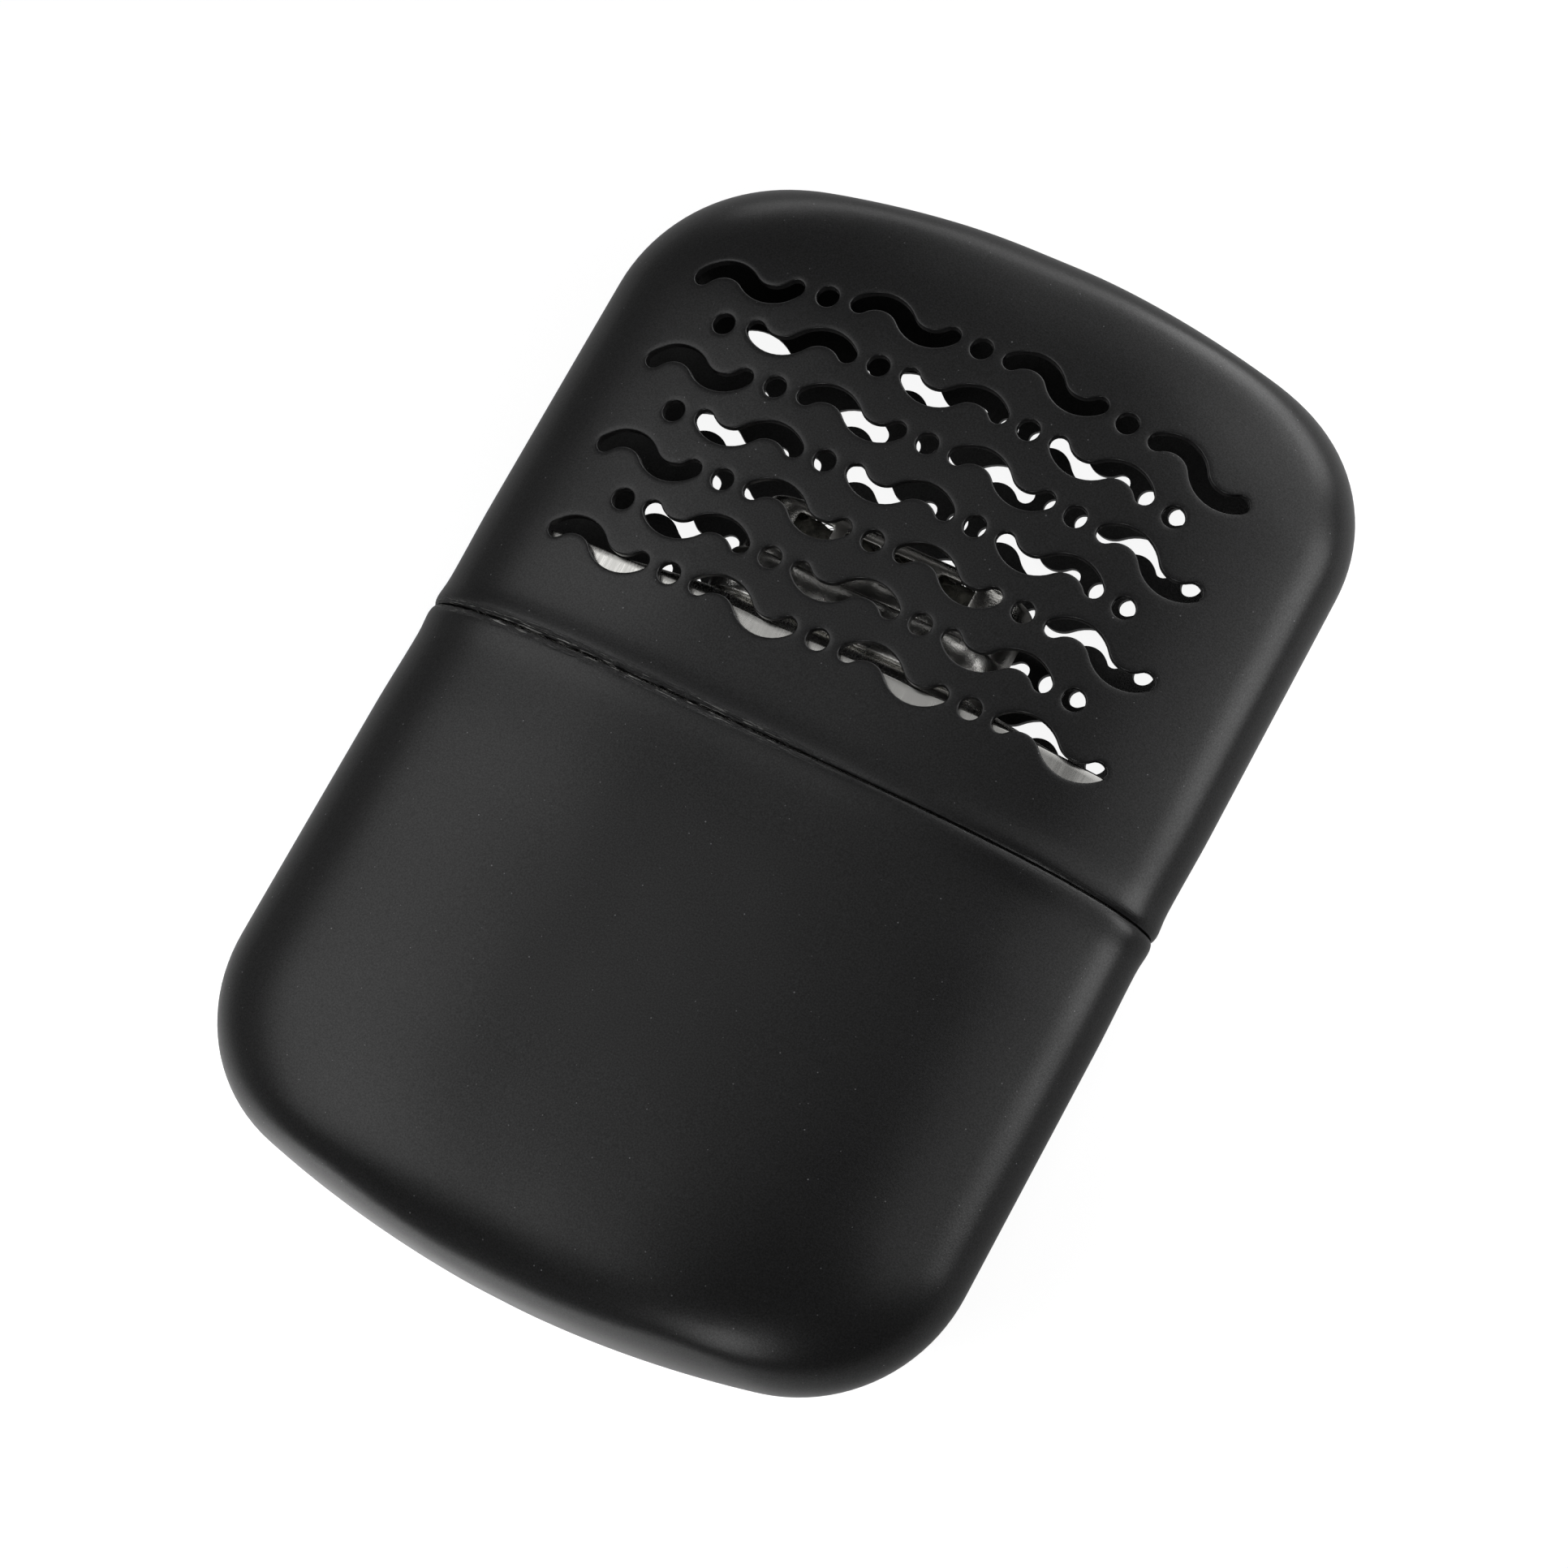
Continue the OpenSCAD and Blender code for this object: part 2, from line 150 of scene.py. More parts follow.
class FinishColours(bpy.types.PropertyGroup):
    """Colours of the finishes, as sRGB hex codes"""
    coat: colour("Powder coat", "Matt black powder coat", "#101010")
    coat_grain: colour("Coat grain", "Paler grain of the powder coat", "#1B1B1C")
    coat_fleck: colour("Coat fleck", "Pale grains in the powder coat", "#7C7C7E")
    # Painted highlight: the seam's bright glints are painted in this pale colour, with some bare metal and
    # dried paint among them
    bare_edge_and_glint: colour("Bare edge", "Glints of bare metal and dried paint at the seam", "#A6A6A3")
    nickel: colour("Nickel", "Bright nickel plate", "#E4E3DF")
    steel: colour("Steel", "Stainless burner sheet", "#D9D8D5")
    heat_tint: colour("Heat tint", "Faint straw tint of heated steel", "#B4B1A9")
    gauze: colour("Gauze", "Steel gauze", "#96918A")
    gauze_dull: colour("Dull gauze", "Steel gauze where the heat dulled it", "#6B675F")
    fibre_pale: colour("Pale fibre", "Palest strands of the catalyst fibre", "#8B897F")
    fibre: colour("Fibre", "Grey catalyst fibre", "#55544F")
    felt: colour("Felt", "White pressed felt", "#E9E6DC")
    felt_shade: colour("Felt shade", "Hollows of the felt", "#CFCABC")
    cotton: colour("Cotton", "Cotton wadding", "#F1EEE6")
    cotton_shade: colour("Cotton shade", "Hollows of the wadding", "#D8D3C6")
    floor: colour("Floor", "Grey that lamps light on the floor, under its white", "#707070")
    floor_white: colour("Floor white", "The floor's own white, as the camera sees it", "#F5F5F5")


class StageSizes(bpy.types.PropertyGroup):
    """Camera, lights and floor"""
    camera_x: length("Camera X", "Camera's place across the case", 120.6)
    camera_y: length("Camera Y", "Camera's place along the case", -84.5)
    camera_z: length("Camera Z", "Camera's height over the floor", 361.3)
    focal: length("Focal length", "Focal length on a 36 mm sensor", 107.55)
    softbox_distance: length("Softbox distance", "Distance of the softboxes from the object", 800)
    floor_in_gloss: number("Floor in gloss", "Share of the floor's white that metal and gloss show", 0.25)
    room_in_gloss: number("Room in gloss", "Share of the room's white that metal and gloss show", 0.08)


def linear(hex_code):
    """An sRGB hex colour as linear red, green, blue and alpha."""
    values = [int(hex_code[i:i + 2], 16) / 255 for i in (1, 3, 5)]
    return [v / 12.92 if v <= 0.04045 else ((v + 0.055) / 1.055) ** 2.4 for v in values] + [1]


# Kinds of node that come up often
MATH = "ShaderNodeMath"
NOISE = "ShaderNodeTexNoise"
RANGE = "ShaderNodeMapRange"
BUMP = "ShaderNodeBump"


def add_node(tree, kind, inputs=None, **settings):
    """A node with its settings. Each input is a value, or the socket or node that feeds it, and a
    node feeds it from its first output in use."""
    node = tree.nodes.new(kind)
    for name, value in settings.items():
        setattr(node, name, value)
    for key, value in (inputs or {}).items():
        if isinstance(value, bpy.types.Node):
            value = next(socket for socket in value.outputs if socket.enabled)
        if isinstance(value, bpy.types.NodeSocket):
            tree.links.new(value, node.inputs[key])
        else:
            node.inputs[key].default_value = value
    return node


# ---- The form of the case ----

def case():
    return bpy.context.scene.warmer_case


HALF_W = (TANK_BOX[1].x - TANK_BOX[0].x) / 2
HALF_T = (TANK_BOX[1].z - TANK_BOX[0].z) / 2
MID_Z = (TANK_BOX[1].z + TANK_BOX[0].z) / 2
HALF_LEN = CAP_BOX[1].y
SEAM_Y = (CAP_BOX[0].y + TANK_BOX[1].y) / 2


def arc_centres():
    """Distances from mid length to the centres of the end's arch and of its corners."""
    c = case()
    arch_y = HALF_LEN - c.arch_r
    return arch_y, arch_y + math.sqrt((c.arch_r - c.corner_r) ** 2 - (HALF_W - c.corner_r) ** 2)


def outline_half_width(u):
    """Half width of the case at distances u from mid length."""
    c = case()
    arch_y, corner_y = arc_centres()
    tangent_y = arch_y + c.arch_r * (corner_y - arch_y) / (c.arch_r - c.corner_r)
    corner = HALF_W - c.corner_r + np.sqrt(np.clip(c.corner_r ** 2 - (u - corner_y) ** 2, 0, None))
    arch = np.sqrt(np.clip(c.arch_r ** 2 - (u - arch_y) ** 2, 0, None))
    return np.where(u < corner_y, HALF_W, np.where(u < tangent_y, corner, arch))


def crown_half_thickness(u):
    """Half thickness of the case at distances u from mid length."""
    c = case()
    share = np.clip((u - c.land_len / 2) / (HALF_LEN - c.land_len / 2), 0, 1)
    return HALF_T * (1 - share ** c.end_power) ** (1 / c.end_fullness)


def face_height(x, u, inset):
    """Height of a face over the case's middle plane, with the section drawn in by inset."""
    c = case()
    half = np.maximum(outline_half_width(u) - inset, 1e-9)
    flat = c.land_w / 2 * half / HALF_W
    share = np.clip((np.abs(x) - flat) / np.maximum(half - flat, 1e-9), 0, 1)
    thick = np.maximum(crown_half_thickness(u) - inset, 0)
    return thick * (1 - share ** c.side_power) ** (1 / c.side_fullness)


def rim_inset(d, rounded):
    """How far a rim is drawn in, and rounded off, at distances d from its edge."""
    c = case()
    down = np.clip((d - c.waist_near) / (c.waist_deep - c.waist_near), 0, 1)
    up = np.clip((d - c.waist_deep) / (c.waist_far - c.waist_deep), 0, 1)
    draw = c.waist * (down * down * (3 - 2 * down) - up * up * (3 - 2 * up))
    share = np.clip(1 - d / c.rim_fall_len, 0, 1)
    rounding = c.rim_fall * (1 - np.sqrt(1 - share * share))
    return draw + (rounding if rounded else 0)


# Rows of points beside the rim, in millimetres from it. The first ones have a point at every step.
RIM_ROWS = [0, 0.03, 0.08, 0.15, 0.25, 0.37, 0.52, 0.72, 1.0, 1.5, 2.1, 2.8]
DENSE_ROWS = 8
RIM_STEP = 0.24 * MM
# Width of the rounded edge round the outline and its steps, and the steps of sides and faces
BAND_WIDTH = 3.2 * MM
BAND_STEPS = 18
SIDE_STEP = 0.9 * MM
FACE_STEP = 0.85 * MM
# Distance between rows of an even net of triangles, as a share of their sides
ROW_SHARE = 0.866


def half_outline(rim_u):
    """Points of one half's outline from its rim on the right, round the end, to its rim on the
    left, with the inward direction at each."""
    c = case()
    arch_y, corner_y = arc_centres()
    turn = math.atan2(corner_y - arch_y, HALF_W - c.corner_r)
    rows = [rim_u + d * MM for d in RIM_ROWS]
    steps = round((corner_y - rows[-1]) / SIDE_STEP)
    side = rows + list(np.linspace(rows[-1], corner_y, steps + 1)[1:])
    points = [(HALF_W, u, -1.0, 0.0) for u in side]
    for angle in np.linspace(0, turn, round(turn * c.corner_r / SIDE_STEP) + 1)[1:]:
        points.append((HALF_W - c.corner_r + c.corner_r * math.cos(angle),
                       corner_y + c.corner_r * math.sin(angle), -math.cos(angle), -math.sin(angle)))
    sweep = math.pi / 2 - turn
    for angle in np.linspace(turn, math.pi / 2, round(sweep * c.arch_r / SIDE_STEP) + 1)[1:]:
        points.append((c.arch_r * math.cos(angle), arch_y + c.arch_r * math.sin(angle),
                       -math.cos(angle), -math.sin(angle)))
    right = np.array(points)
    left = right[-2::-1] * [-1, 1, -1, 1]
    return np.concatenate([right, left])


def band_points(outline):
    """Columns of points that run in from the outline and are evenly spaced over the rounded edge."""
    tries = BAND_WIDTH * np.linspace(0, 1, 240) ** 4
    columns = []
    for x, u, dx, du in outline:
        px, pu = x + dx * tries, np.minimum(u + du * tries, HALF_LEN)
        pz = face_height(px, pu, 0)
        steps = np.sqrt(np.diff(px) ** 2 + np.diff(pu) ** 2 + np.diff(pz) ** 2)
        run = np.concatenate([[0], np.cumsum(steps)])
        depth = np.interp(np.linspace(0, run[-1], BAND_STEPS + 1), run, tries)
        columns.append(np.stack([x + dx * depth, u + du * depth], 1))
    return np.array(columns)


def inside(points, loop):
    """Which points lie inside a closed loop of points, by counting crossings."""
    hit = np.zeros(len(points), bool)
    low, high = loop.min(0), loop.max(0)
    near = np.where(((points >= low) & (points <= high)).all(1))[0]
    if not len(near):
        return hit
    p = points[near]
    a, b = loop, np.roll(loop, -1, 0)
    straddle = (a[None, :, 1] > p[:, None, 1]) != (b[None, :, 1] > p[:, None, 1])
    rise = np.where(a[:, 1] == b[:, 1], 1e-12, b[:, 1] - a[:, 1])
    cross = a[None, :, 0] + (p[:, None, 1] - a[None, :, 1]) * ((b - a)[:, 0] / rise)[None, :]
    hit[near] = ((straddle & (p[:, None, 0] < cross)).sum(1) % 2) == 1
    return hit


def triangles_between(border, holes, free):
    """Triangles that fill a border, leave out the holes and use the free points too. All points
    are counted in the order border, holes, free."""
    loops = [border] + holes
    points = np.concatenate(loops + [free])
    edges, start = [], 0
    for loop in loops:
        n = len(loop)
        edges += [(start + i, start + (i + 1) % n) for i in range(n)]
        start += n
    scaled = [Vector(p) for p in points / MM]
    found = delaunay_2d_cdt(scaled, edges, [], 1, 1e-7, True)
    source = [ids[0] for ids in found[3]]
    faces = np.array([[source[i] for i in f] for f in found[2]])
    centres = points[faces].mean(1)
    keep = inside(centres, border)
    for hole in holes:
        keep &= ~inside(centres, hole)
    return faces[keep]


def free_points(border, holes, rim_u, xs):
    """Rows of points beside the rim and an even net of points over the rest of the face."""
    def row(across, u):
        return np.stack([across, np.full(len(across), u)], 1)

    rows = [row(xs, rim_u + d * MM) for d in RIM_ROWS[1:DENSE_ROWS]]
    rows += [row(xs[1::3], rim_u + d * MM) for d in RIM_ROWS[DENSE_ROWS:]]
    low = rim_u + RIM_ROWS[-1] * MM + FACE_STEP
    across = np.arange(-HALF_W, HALF_W, FACE_STEP)
    levels = np.arange(low, HALF_LEN, FACE_STEP * ROW_SHARE)
    net = np.concatenate([row(across + FACE_STEP / 2 * (k % 2), u) for k, u in enumerate(levels)])
    keep = inside(net, border)
    fixed = np.concatenate([border] + holes)
    for hole in holes:
        keep &= ~inside(net, hole)
    net = net[keep]
    gap = np.array([((fixed - p) ** 2).sum(1).min() for p in net])
    return np.concatenate(rows + [net[gap > (0.45 * FACE_STEP) ** 2]])


def torn_noise(place):
    """A rough noise of four layers, about 0 in the mean."""
    return noise.fractal(place, 0.7, 2.3, 4)


def ragged_rim(points, rim_u):
    """How the paint's torn edge departs from the rim: mostly on the half left of the middle."""
    c = case()
    out = np.zeros_like(points)
    near = np.where(points[:, 1] - rim_u < c.ragged_reach)[0]
    for i in near:
        x, y, z = points[i]
        # A fifth of the tear is left on the right, with a change over 3 mm at the middle
        leftness = 0.2 + 0.8 / (1 + math.exp(x / (3 * MM)))
        share = (1 - (y - rim_u) / c.ragged_reach) * leftness
        tear = torn_noise(Vector((x, 0, z)) / MM * 1.3)
        chip = torn_noise(Vector((x, y * 3, z)) / MM * 0.9 + Vector((40, 7, 3)))
        out[i, 1] = max(tear, 0) * share * c.ragged
        out[i, 2] = -math.copysign(abs(chip), z) * share * c.ragged * 0.7
    return out


# Distances from a hole's edge, in millimetres, of the loops of points that form its lip
LIP_STEPS = [0, 0.015, 0.04, 0.08, 0.13, 0.22, 0.36, 0.52]


def drawn_half(direction, rim_y, lips):
    """The mesh of one half of the case: direction is 1 for the cap and -1 for the tank, and lips
    holds, for each hole, its outline at each of LIP_STEPS."""
    c = case()
    rim_u = direction * rim_y
    outline = half_outline(rim_u)
    band = band_points(outline)
    columns = len(band)
    edge_x = band[0, -1, 0]
    count = round(2 * edge_x / RIM_STEP)
    xs = np.linspace(edge_x, -edge_x, count + 1)[1:-1]
    seam_line = np.stack([xs[::-1], np.full(len(xs), rim_u)], 1)
    border = np.concatenate([band[:, -1], seam_line])
    outer_loops = [lip[-1] for lip in lips]
    free = free_points(border, outer_loops, rim_u, xs)
    filled = triangles_between(border, outer_loops, free)

    # All points of the flat blank: band, seam line, free points, then the lips from out to in
    flat = [band.reshape(-1, 2), seam_line, free]
    band_id = np.arange(columns * (BAND_STEPS + 1)).reshape(columns, BAND_STEPS + 1)
    seam_id = band_id.size + np.arange(len(seam_line))
    free_id = band_id.size + len(seam_line) + np.arange(len(free))
    start = band_id.size + len(seam_line) + len(free)
    lip_ids = []
    for lip in lips:
        n = len(lip[0])
        lip_ids.append(start + np.arange(n * len(LIP_STEPS)).reshape(len(LIP_STEPS), n))
        flat.append(lip.reshape(-1, 2))
        start += n * len(LIP_STEPS)
    flat = np.concatenate(flat)
    border_id = np.concatenate([band_id[:, -1], seam_id])
    known = np.concatenate([border_id] + [ids[-1] for ids in lip_ids] + [free_id])
    faces = [list(f) for f in known[filled]]
    for i in range(columns - 1):
        for k in range(BAND_STEPS):
            faces.append([band_id[i, k], band_id[i + 1, k], band_id[i + 1, k + 1], band_id[i, k + 1]])

    fine, coarse = list(faces), list(faces)
    sink = np.zeros(len(flat))
    r, reach = bpy.context.scene.warmer_vents.lip_r, LIP_STEPS[-1] * MM
    for ids in lip_ids:
        n = ids.shape[1]
        for k, d in enumerate(LIP_STEPS):
            d *= MM
            round_off = r - math.sqrt(max(0, r * r - max(0, r - d) ** 2))
            sink[ids[k]] = round_off + bpy.context.scene.warmer_vents.lip_sink * (1 - d / reach) ** 2
        for i in range(n):
            j = (i + 1) % n
            for k in range(len(LIP_STEPS) - 1):
                fine.append([ids[k, j], ids[k, i], ids[k + 1, i], ids[k + 1, j]])
            coarse.append([ids[0, j], ids[0, i], ids[-1, i], ids[-1, j]])

    # Lift the blank to both faces, welded along the outline
    total = len(flat)
    on_edge = band_id[:, 0]
    back = np.arange(total) + total
    back[on_edge] = on_edge
    depth = flat[:, 1] - rim_u

    def lifted(rounded, lip):
        inset = rim_inset(depth, rounded)
        x = flat[:, 0] - np.sign(flat[:, 0]) * inset * np.clip(np.abs(flat[:, 0]) / HALF_W, 0, 1) ** 8
        z = face_height(x, np.minimum(flat[:, 1], HALF_LEN), inset)
        z[on_edge] = 0
        z = z - (sink if lip else 0)
        front = np.stack([x, flat[:, 1], z], 1)
        both = np.concatenate([front, front * [1, 1, -1]])
        return both + (ragged_rim(both, rim_u) if lip else 0)

    outer = lifted(True, True)
    base = lifted(False, False)
    base_faces = fine + [[back[i] for i in reversed(f)] for f in fine]
    normals = vertex_normals(base, base_faces)
    inner = base - normals * c.sheet
    rim_vertices = np.where(depth < 1e-9)[0]
    for ids in (rim_vertices, rim_vertices + total):
        inner[ids, 1] = rim_u
    shift = 2 * total
    all_faces = fine + [[back[i] for i in reversed(f)] for f in fine]
    all_faces += [[i + shift for i in reversed(f)] for f in coarse]
    all_faces += [[back[i] + shift for i in f] for f in coarse]
    rim = list(band_id[0]) + list(seam_id[::-1]) + list(band_id[-1, ::-1])
    loop = rim + [back[i] for i in rim[::-1][1:-1]]
    for a, b in zip(loop, loop[1:] + loop[:1]):
        all_faces.append([b, a, a + shift, b + shift])
    for ids in lip_ids:
        for i in range(ids.shape[1]):
            a, b = ids[0, i], ids[0, (i + 1) % ids.shape[1]]
            all_faces.append([a, b, b + shift, a + shift])
            all_faces.append([back[b], back[a], back[a] + shift, back[b] + shift])
    points = np.concatenate([outer, inner])
    points = points * [1, direction, 1] + [0, 0, MID_Z]
    return points, all_faces


def vertex_normals(points, faces):
    """Area-weighted normals of the points of a mesh."""
    out = np.zeros_like(points)
    for n in (3, 4):
        f = np.array([face for face in faces if len(face) == n])
        if not len(f):
            continue
        a, b, c, d = points[f[:, 0]], points[f[:, 1]], points[f[:, 2]], points[f[:, -1]]
        cross = np.cross(b - a, c - a) + (np.cross(c - a, d - a) if n == 4 else 0)
        for k in range(n):
            np.add.at(out, f[:, k], cross)
    size = np.linalg.norm(out, axis=1, keepdims=True)
    return out / np.where(size > 0, size, 1)


def mesh_piece(name, points, faces, material, sharp_angle=40):
    """A closed mesh object from points and faces, cleaned, with outward faces and smooth shading."""
    used = sorted(set(i for f in faces for i in f))
    place = {old: new for new, old in enumerate(used)}
    mesh = bpy.data.meshes.new(name)
    mesh.from_pydata([tuple(points[i]) for i in used], [], [[place[i] for i in f] for f in faces])
    bm = bmesh.new()
    bm.from_mesh(mesh)
    bmesh.ops.remove_doubles(bm, verts=bm.verts, dist=1e-8)
    bmesh.ops.recalc_face_normals(bm, faces=bm.faces)
    bm.to_mesh(mesh)
    bm.free()
    mesh.shade_smooth()
    mesh.set_sharp_from_angle(angle=math.radians(sharp_angle))
    mesh.materials.append(material)
    piece = bpy.data.objects.new(name, mesh)
    bpy.context.scene.collection.objects.link(piece)
    return piece


# ---- Sheet parts: surfaces from rings and charts, then thickness and rounded edges ----

def inner():
    return bpy.context.scene.warmer_inner


def ring_of(quarter, steps):
    """A closed ring of evenly spaced points from its first quarter, side to middle of the face."""
    run = np.concatenate([[0], np.cumsum(np.hypot(*np.diff(quarter, axis=0).T))])
    even = np.linspace(0, run[-1], steps + 1)
    right = np.stack([np.interp(even, run, quarter[:, 0]), np.interp(even, run, quarter[:, 1])], 1)
    upper = np.concatenate([right, right[::-1][1:] * [-1, 1]])
    return np.concatenate([upper, upper[::-1][1:-1] * [1, -1]])


def section_ring(inset, steps):
    """The case's section at mid length, drawn in by inset."""
    c = case()
    a, b = HALF_W - inset, HALF_T - inset
    flat = c.land_w / 2 * a / HALF_W
    turn = np.linspace(0, math.pi / 2, 600)
    x = flat + (a - flat) * np.cos(turn) ** (2 / c.side_power)
    z = b * np.sin(turn) ** (2 / c.side_fullness)
    return ring_of(np.append(np.stack([x, z], 1), [[0, b]], 0), steps)


def oval_ring(w, t, steps):
    """An oval of width w and thickness t with half round ends."""
    turn = np.linspace(0, math.pi / 2, 200)
    x, z = (w - t) / 2 + t / 2 * np.cos(turn), t / 2 * np.sin(turn)
    return ring_of(np.append(np.stack([x, z], 1), [[0, t / 2]], 0), steps)


def at_height(ring, y):
    """A flat ring as points of the object, at height y along the case."""
    return np.stack([ring[:, 0], np.broadcast_to(y, len(ring)), MID_Z + ring[:, 1]], 1)


def loft(rings, first=0):
    """Faces between rings that follow each other, counted from first."""
    n = len(rings[0])
    starts = [first + k * n for k in range(len(rings) - 1)]
    return [[k + i, k + (i + 1) % n, k + n + (i + 1) % n, k + n + i] for k in starts for i in range(n)]


def rounded_window(x, y, w, h, r, steps=5):
    """A rectangle round x and y with round corners, as a loop of points."""
    points = []
    for k, (sx, sy) in enumerate(((1, 1), (-1, 1), (-1, -1), (1, -1))):
        corner_x, corner_y = x + sx * (w / 2 - r), y + sy * (h / 2 - r)
        for angle in np.linspace(k, k + 1, steps) * math.pi / 2:
            points.append((corner_x + r * math.cos(angle), corner_y + r * math.sin(angle)))
    return np.array(points)


def chart(border, holes, step):
    """Points and triangles that fill a flat border round its holes, on a net of this step."""
    low, high = border.min(0), border.max(0)
    net = []
    for k, v in enumerate(np.arange(low[1] + step / 2, high[1], step * ROW_SHARE)):
        us = np.arange(low[0] + step / 2 * (1 + k % 2), high[0], step)
        net.append(np.stack([us, np.full(len(us), v)], 1))
    net = np.concatenate(net)
    keep = inside(net, border)
    for hole in holes:
        keep &= ~inside(net, hole)
    net = net[keep]
    fixed = np.concatenate([border] + holes)
    gap = np.array([((fixed - p) ** 2).sum(1).min() for p in net])
    free = net[gap > (0.5 * step) ** 2]
    return np.concatenate([border] + holes + [free]), triangles_between(border, holes, free)


def plain_object(name, points, faces):
    """An object of the scene from points and faces, welded where points meet."""
    mesh = bpy.data.meshes.new(name)
    mesh.from_pydata([tuple(p) for p in points], [], [list(map(int, f)) for f in faces])
    bm = bmesh.new()
    bm.from_mesh(mesh)
    bmesh.ops.remove_doubles(bm, verts=bm.verts, dist=2e-6)
    bmesh.ops.recalc_face_normals(bm, faces=bm.faces)
    centre = sum((v.co for v in bm.verts), Vector()) / len(bm.verts)
    outward = sum(f.normal.dot(f.calc_center_median() - centre) * f.calc_area() for f in bm.faces)
    if outward < 0:
        bmesh.ops.reverse_faces(bm, faces=bm.faces)
    bm.to_mesh(mesh)
    bm.free()
    made = bpy.data.objects.new(name, mesh)
    bpy.context.scene.collection.objects.link(made)
    return made


def settled(carrier, name, finish, sharp_angle=35):
    """A plain piece with the mesh that the carrier's modifiers make; the carrier is removed."""
    graph = bpy.context.evaluated_depsgraph_get()
    mesh = bpy.data.meshes.new_from_object(carrier.evaluated_get(graph))
    bpy.data.objects.remove(carrier)
    mesh.name = name
    mesh.materials.clear()
    mesh.materials.append(finish)
    mesh.polygons.foreach_set("material_index", [0] * len(mesh.polygons))
    mesh.shade_smooth()
    mesh.set_sharp_from_angle(angle=math.radians(sharp_angle))
    piece = bpy.data.objects.new(name, mesh)
    bpy.context.scene.collection.objects.link(piece)
    return piece


def sheet_piece(name, points, faces, thickness, edge_r, finish):
    """A piece of sheet metal: the outer surface gets its thickness inwards and rounded edges."""
    carrier = plain_object(name + "_surface", points, faces)
    solid = carrier.modifiers.new("thickness", "SOLIDIFY")
    solid.thickness = thickness
    solid.offset = -1
    solid.use_even_offset = True
    edges = carrier.modifiers.new("edges", "BEVEL")
    edges.width = edge_r
    edges.segments = 3
    edges.limit_method = "ANGLE"
    edges.angle_limit = math.radians(50)
    edges.use_clamp_overlap = False
    return settled(carrier, name, finish)


def dress(piece, body, node):
    """Fasten a piece to its body, in the place of its node, and hide the node's own mesh."""
    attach(piece, body)
    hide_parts(node)


def geometry_tree(name, sockets):
    """A geometry tree with these named inputs and one output, and its inputs' sockets."""
    tree = bpy.data.node_groups.new(name, "GeometryNodeTree")
    for socket, kind in sockets:
        tree.interface.new_socket(socket, in_out="INPUT", socket_type="NodeSocket" + kind)
    tree.interface.new_socket("Geometry", in_out="OUTPUT", socket_type="NodeSocketGeometry")
    return tree, add_node(tree, "NodeGroupInput").outputs


STRAND_POINTS = 8


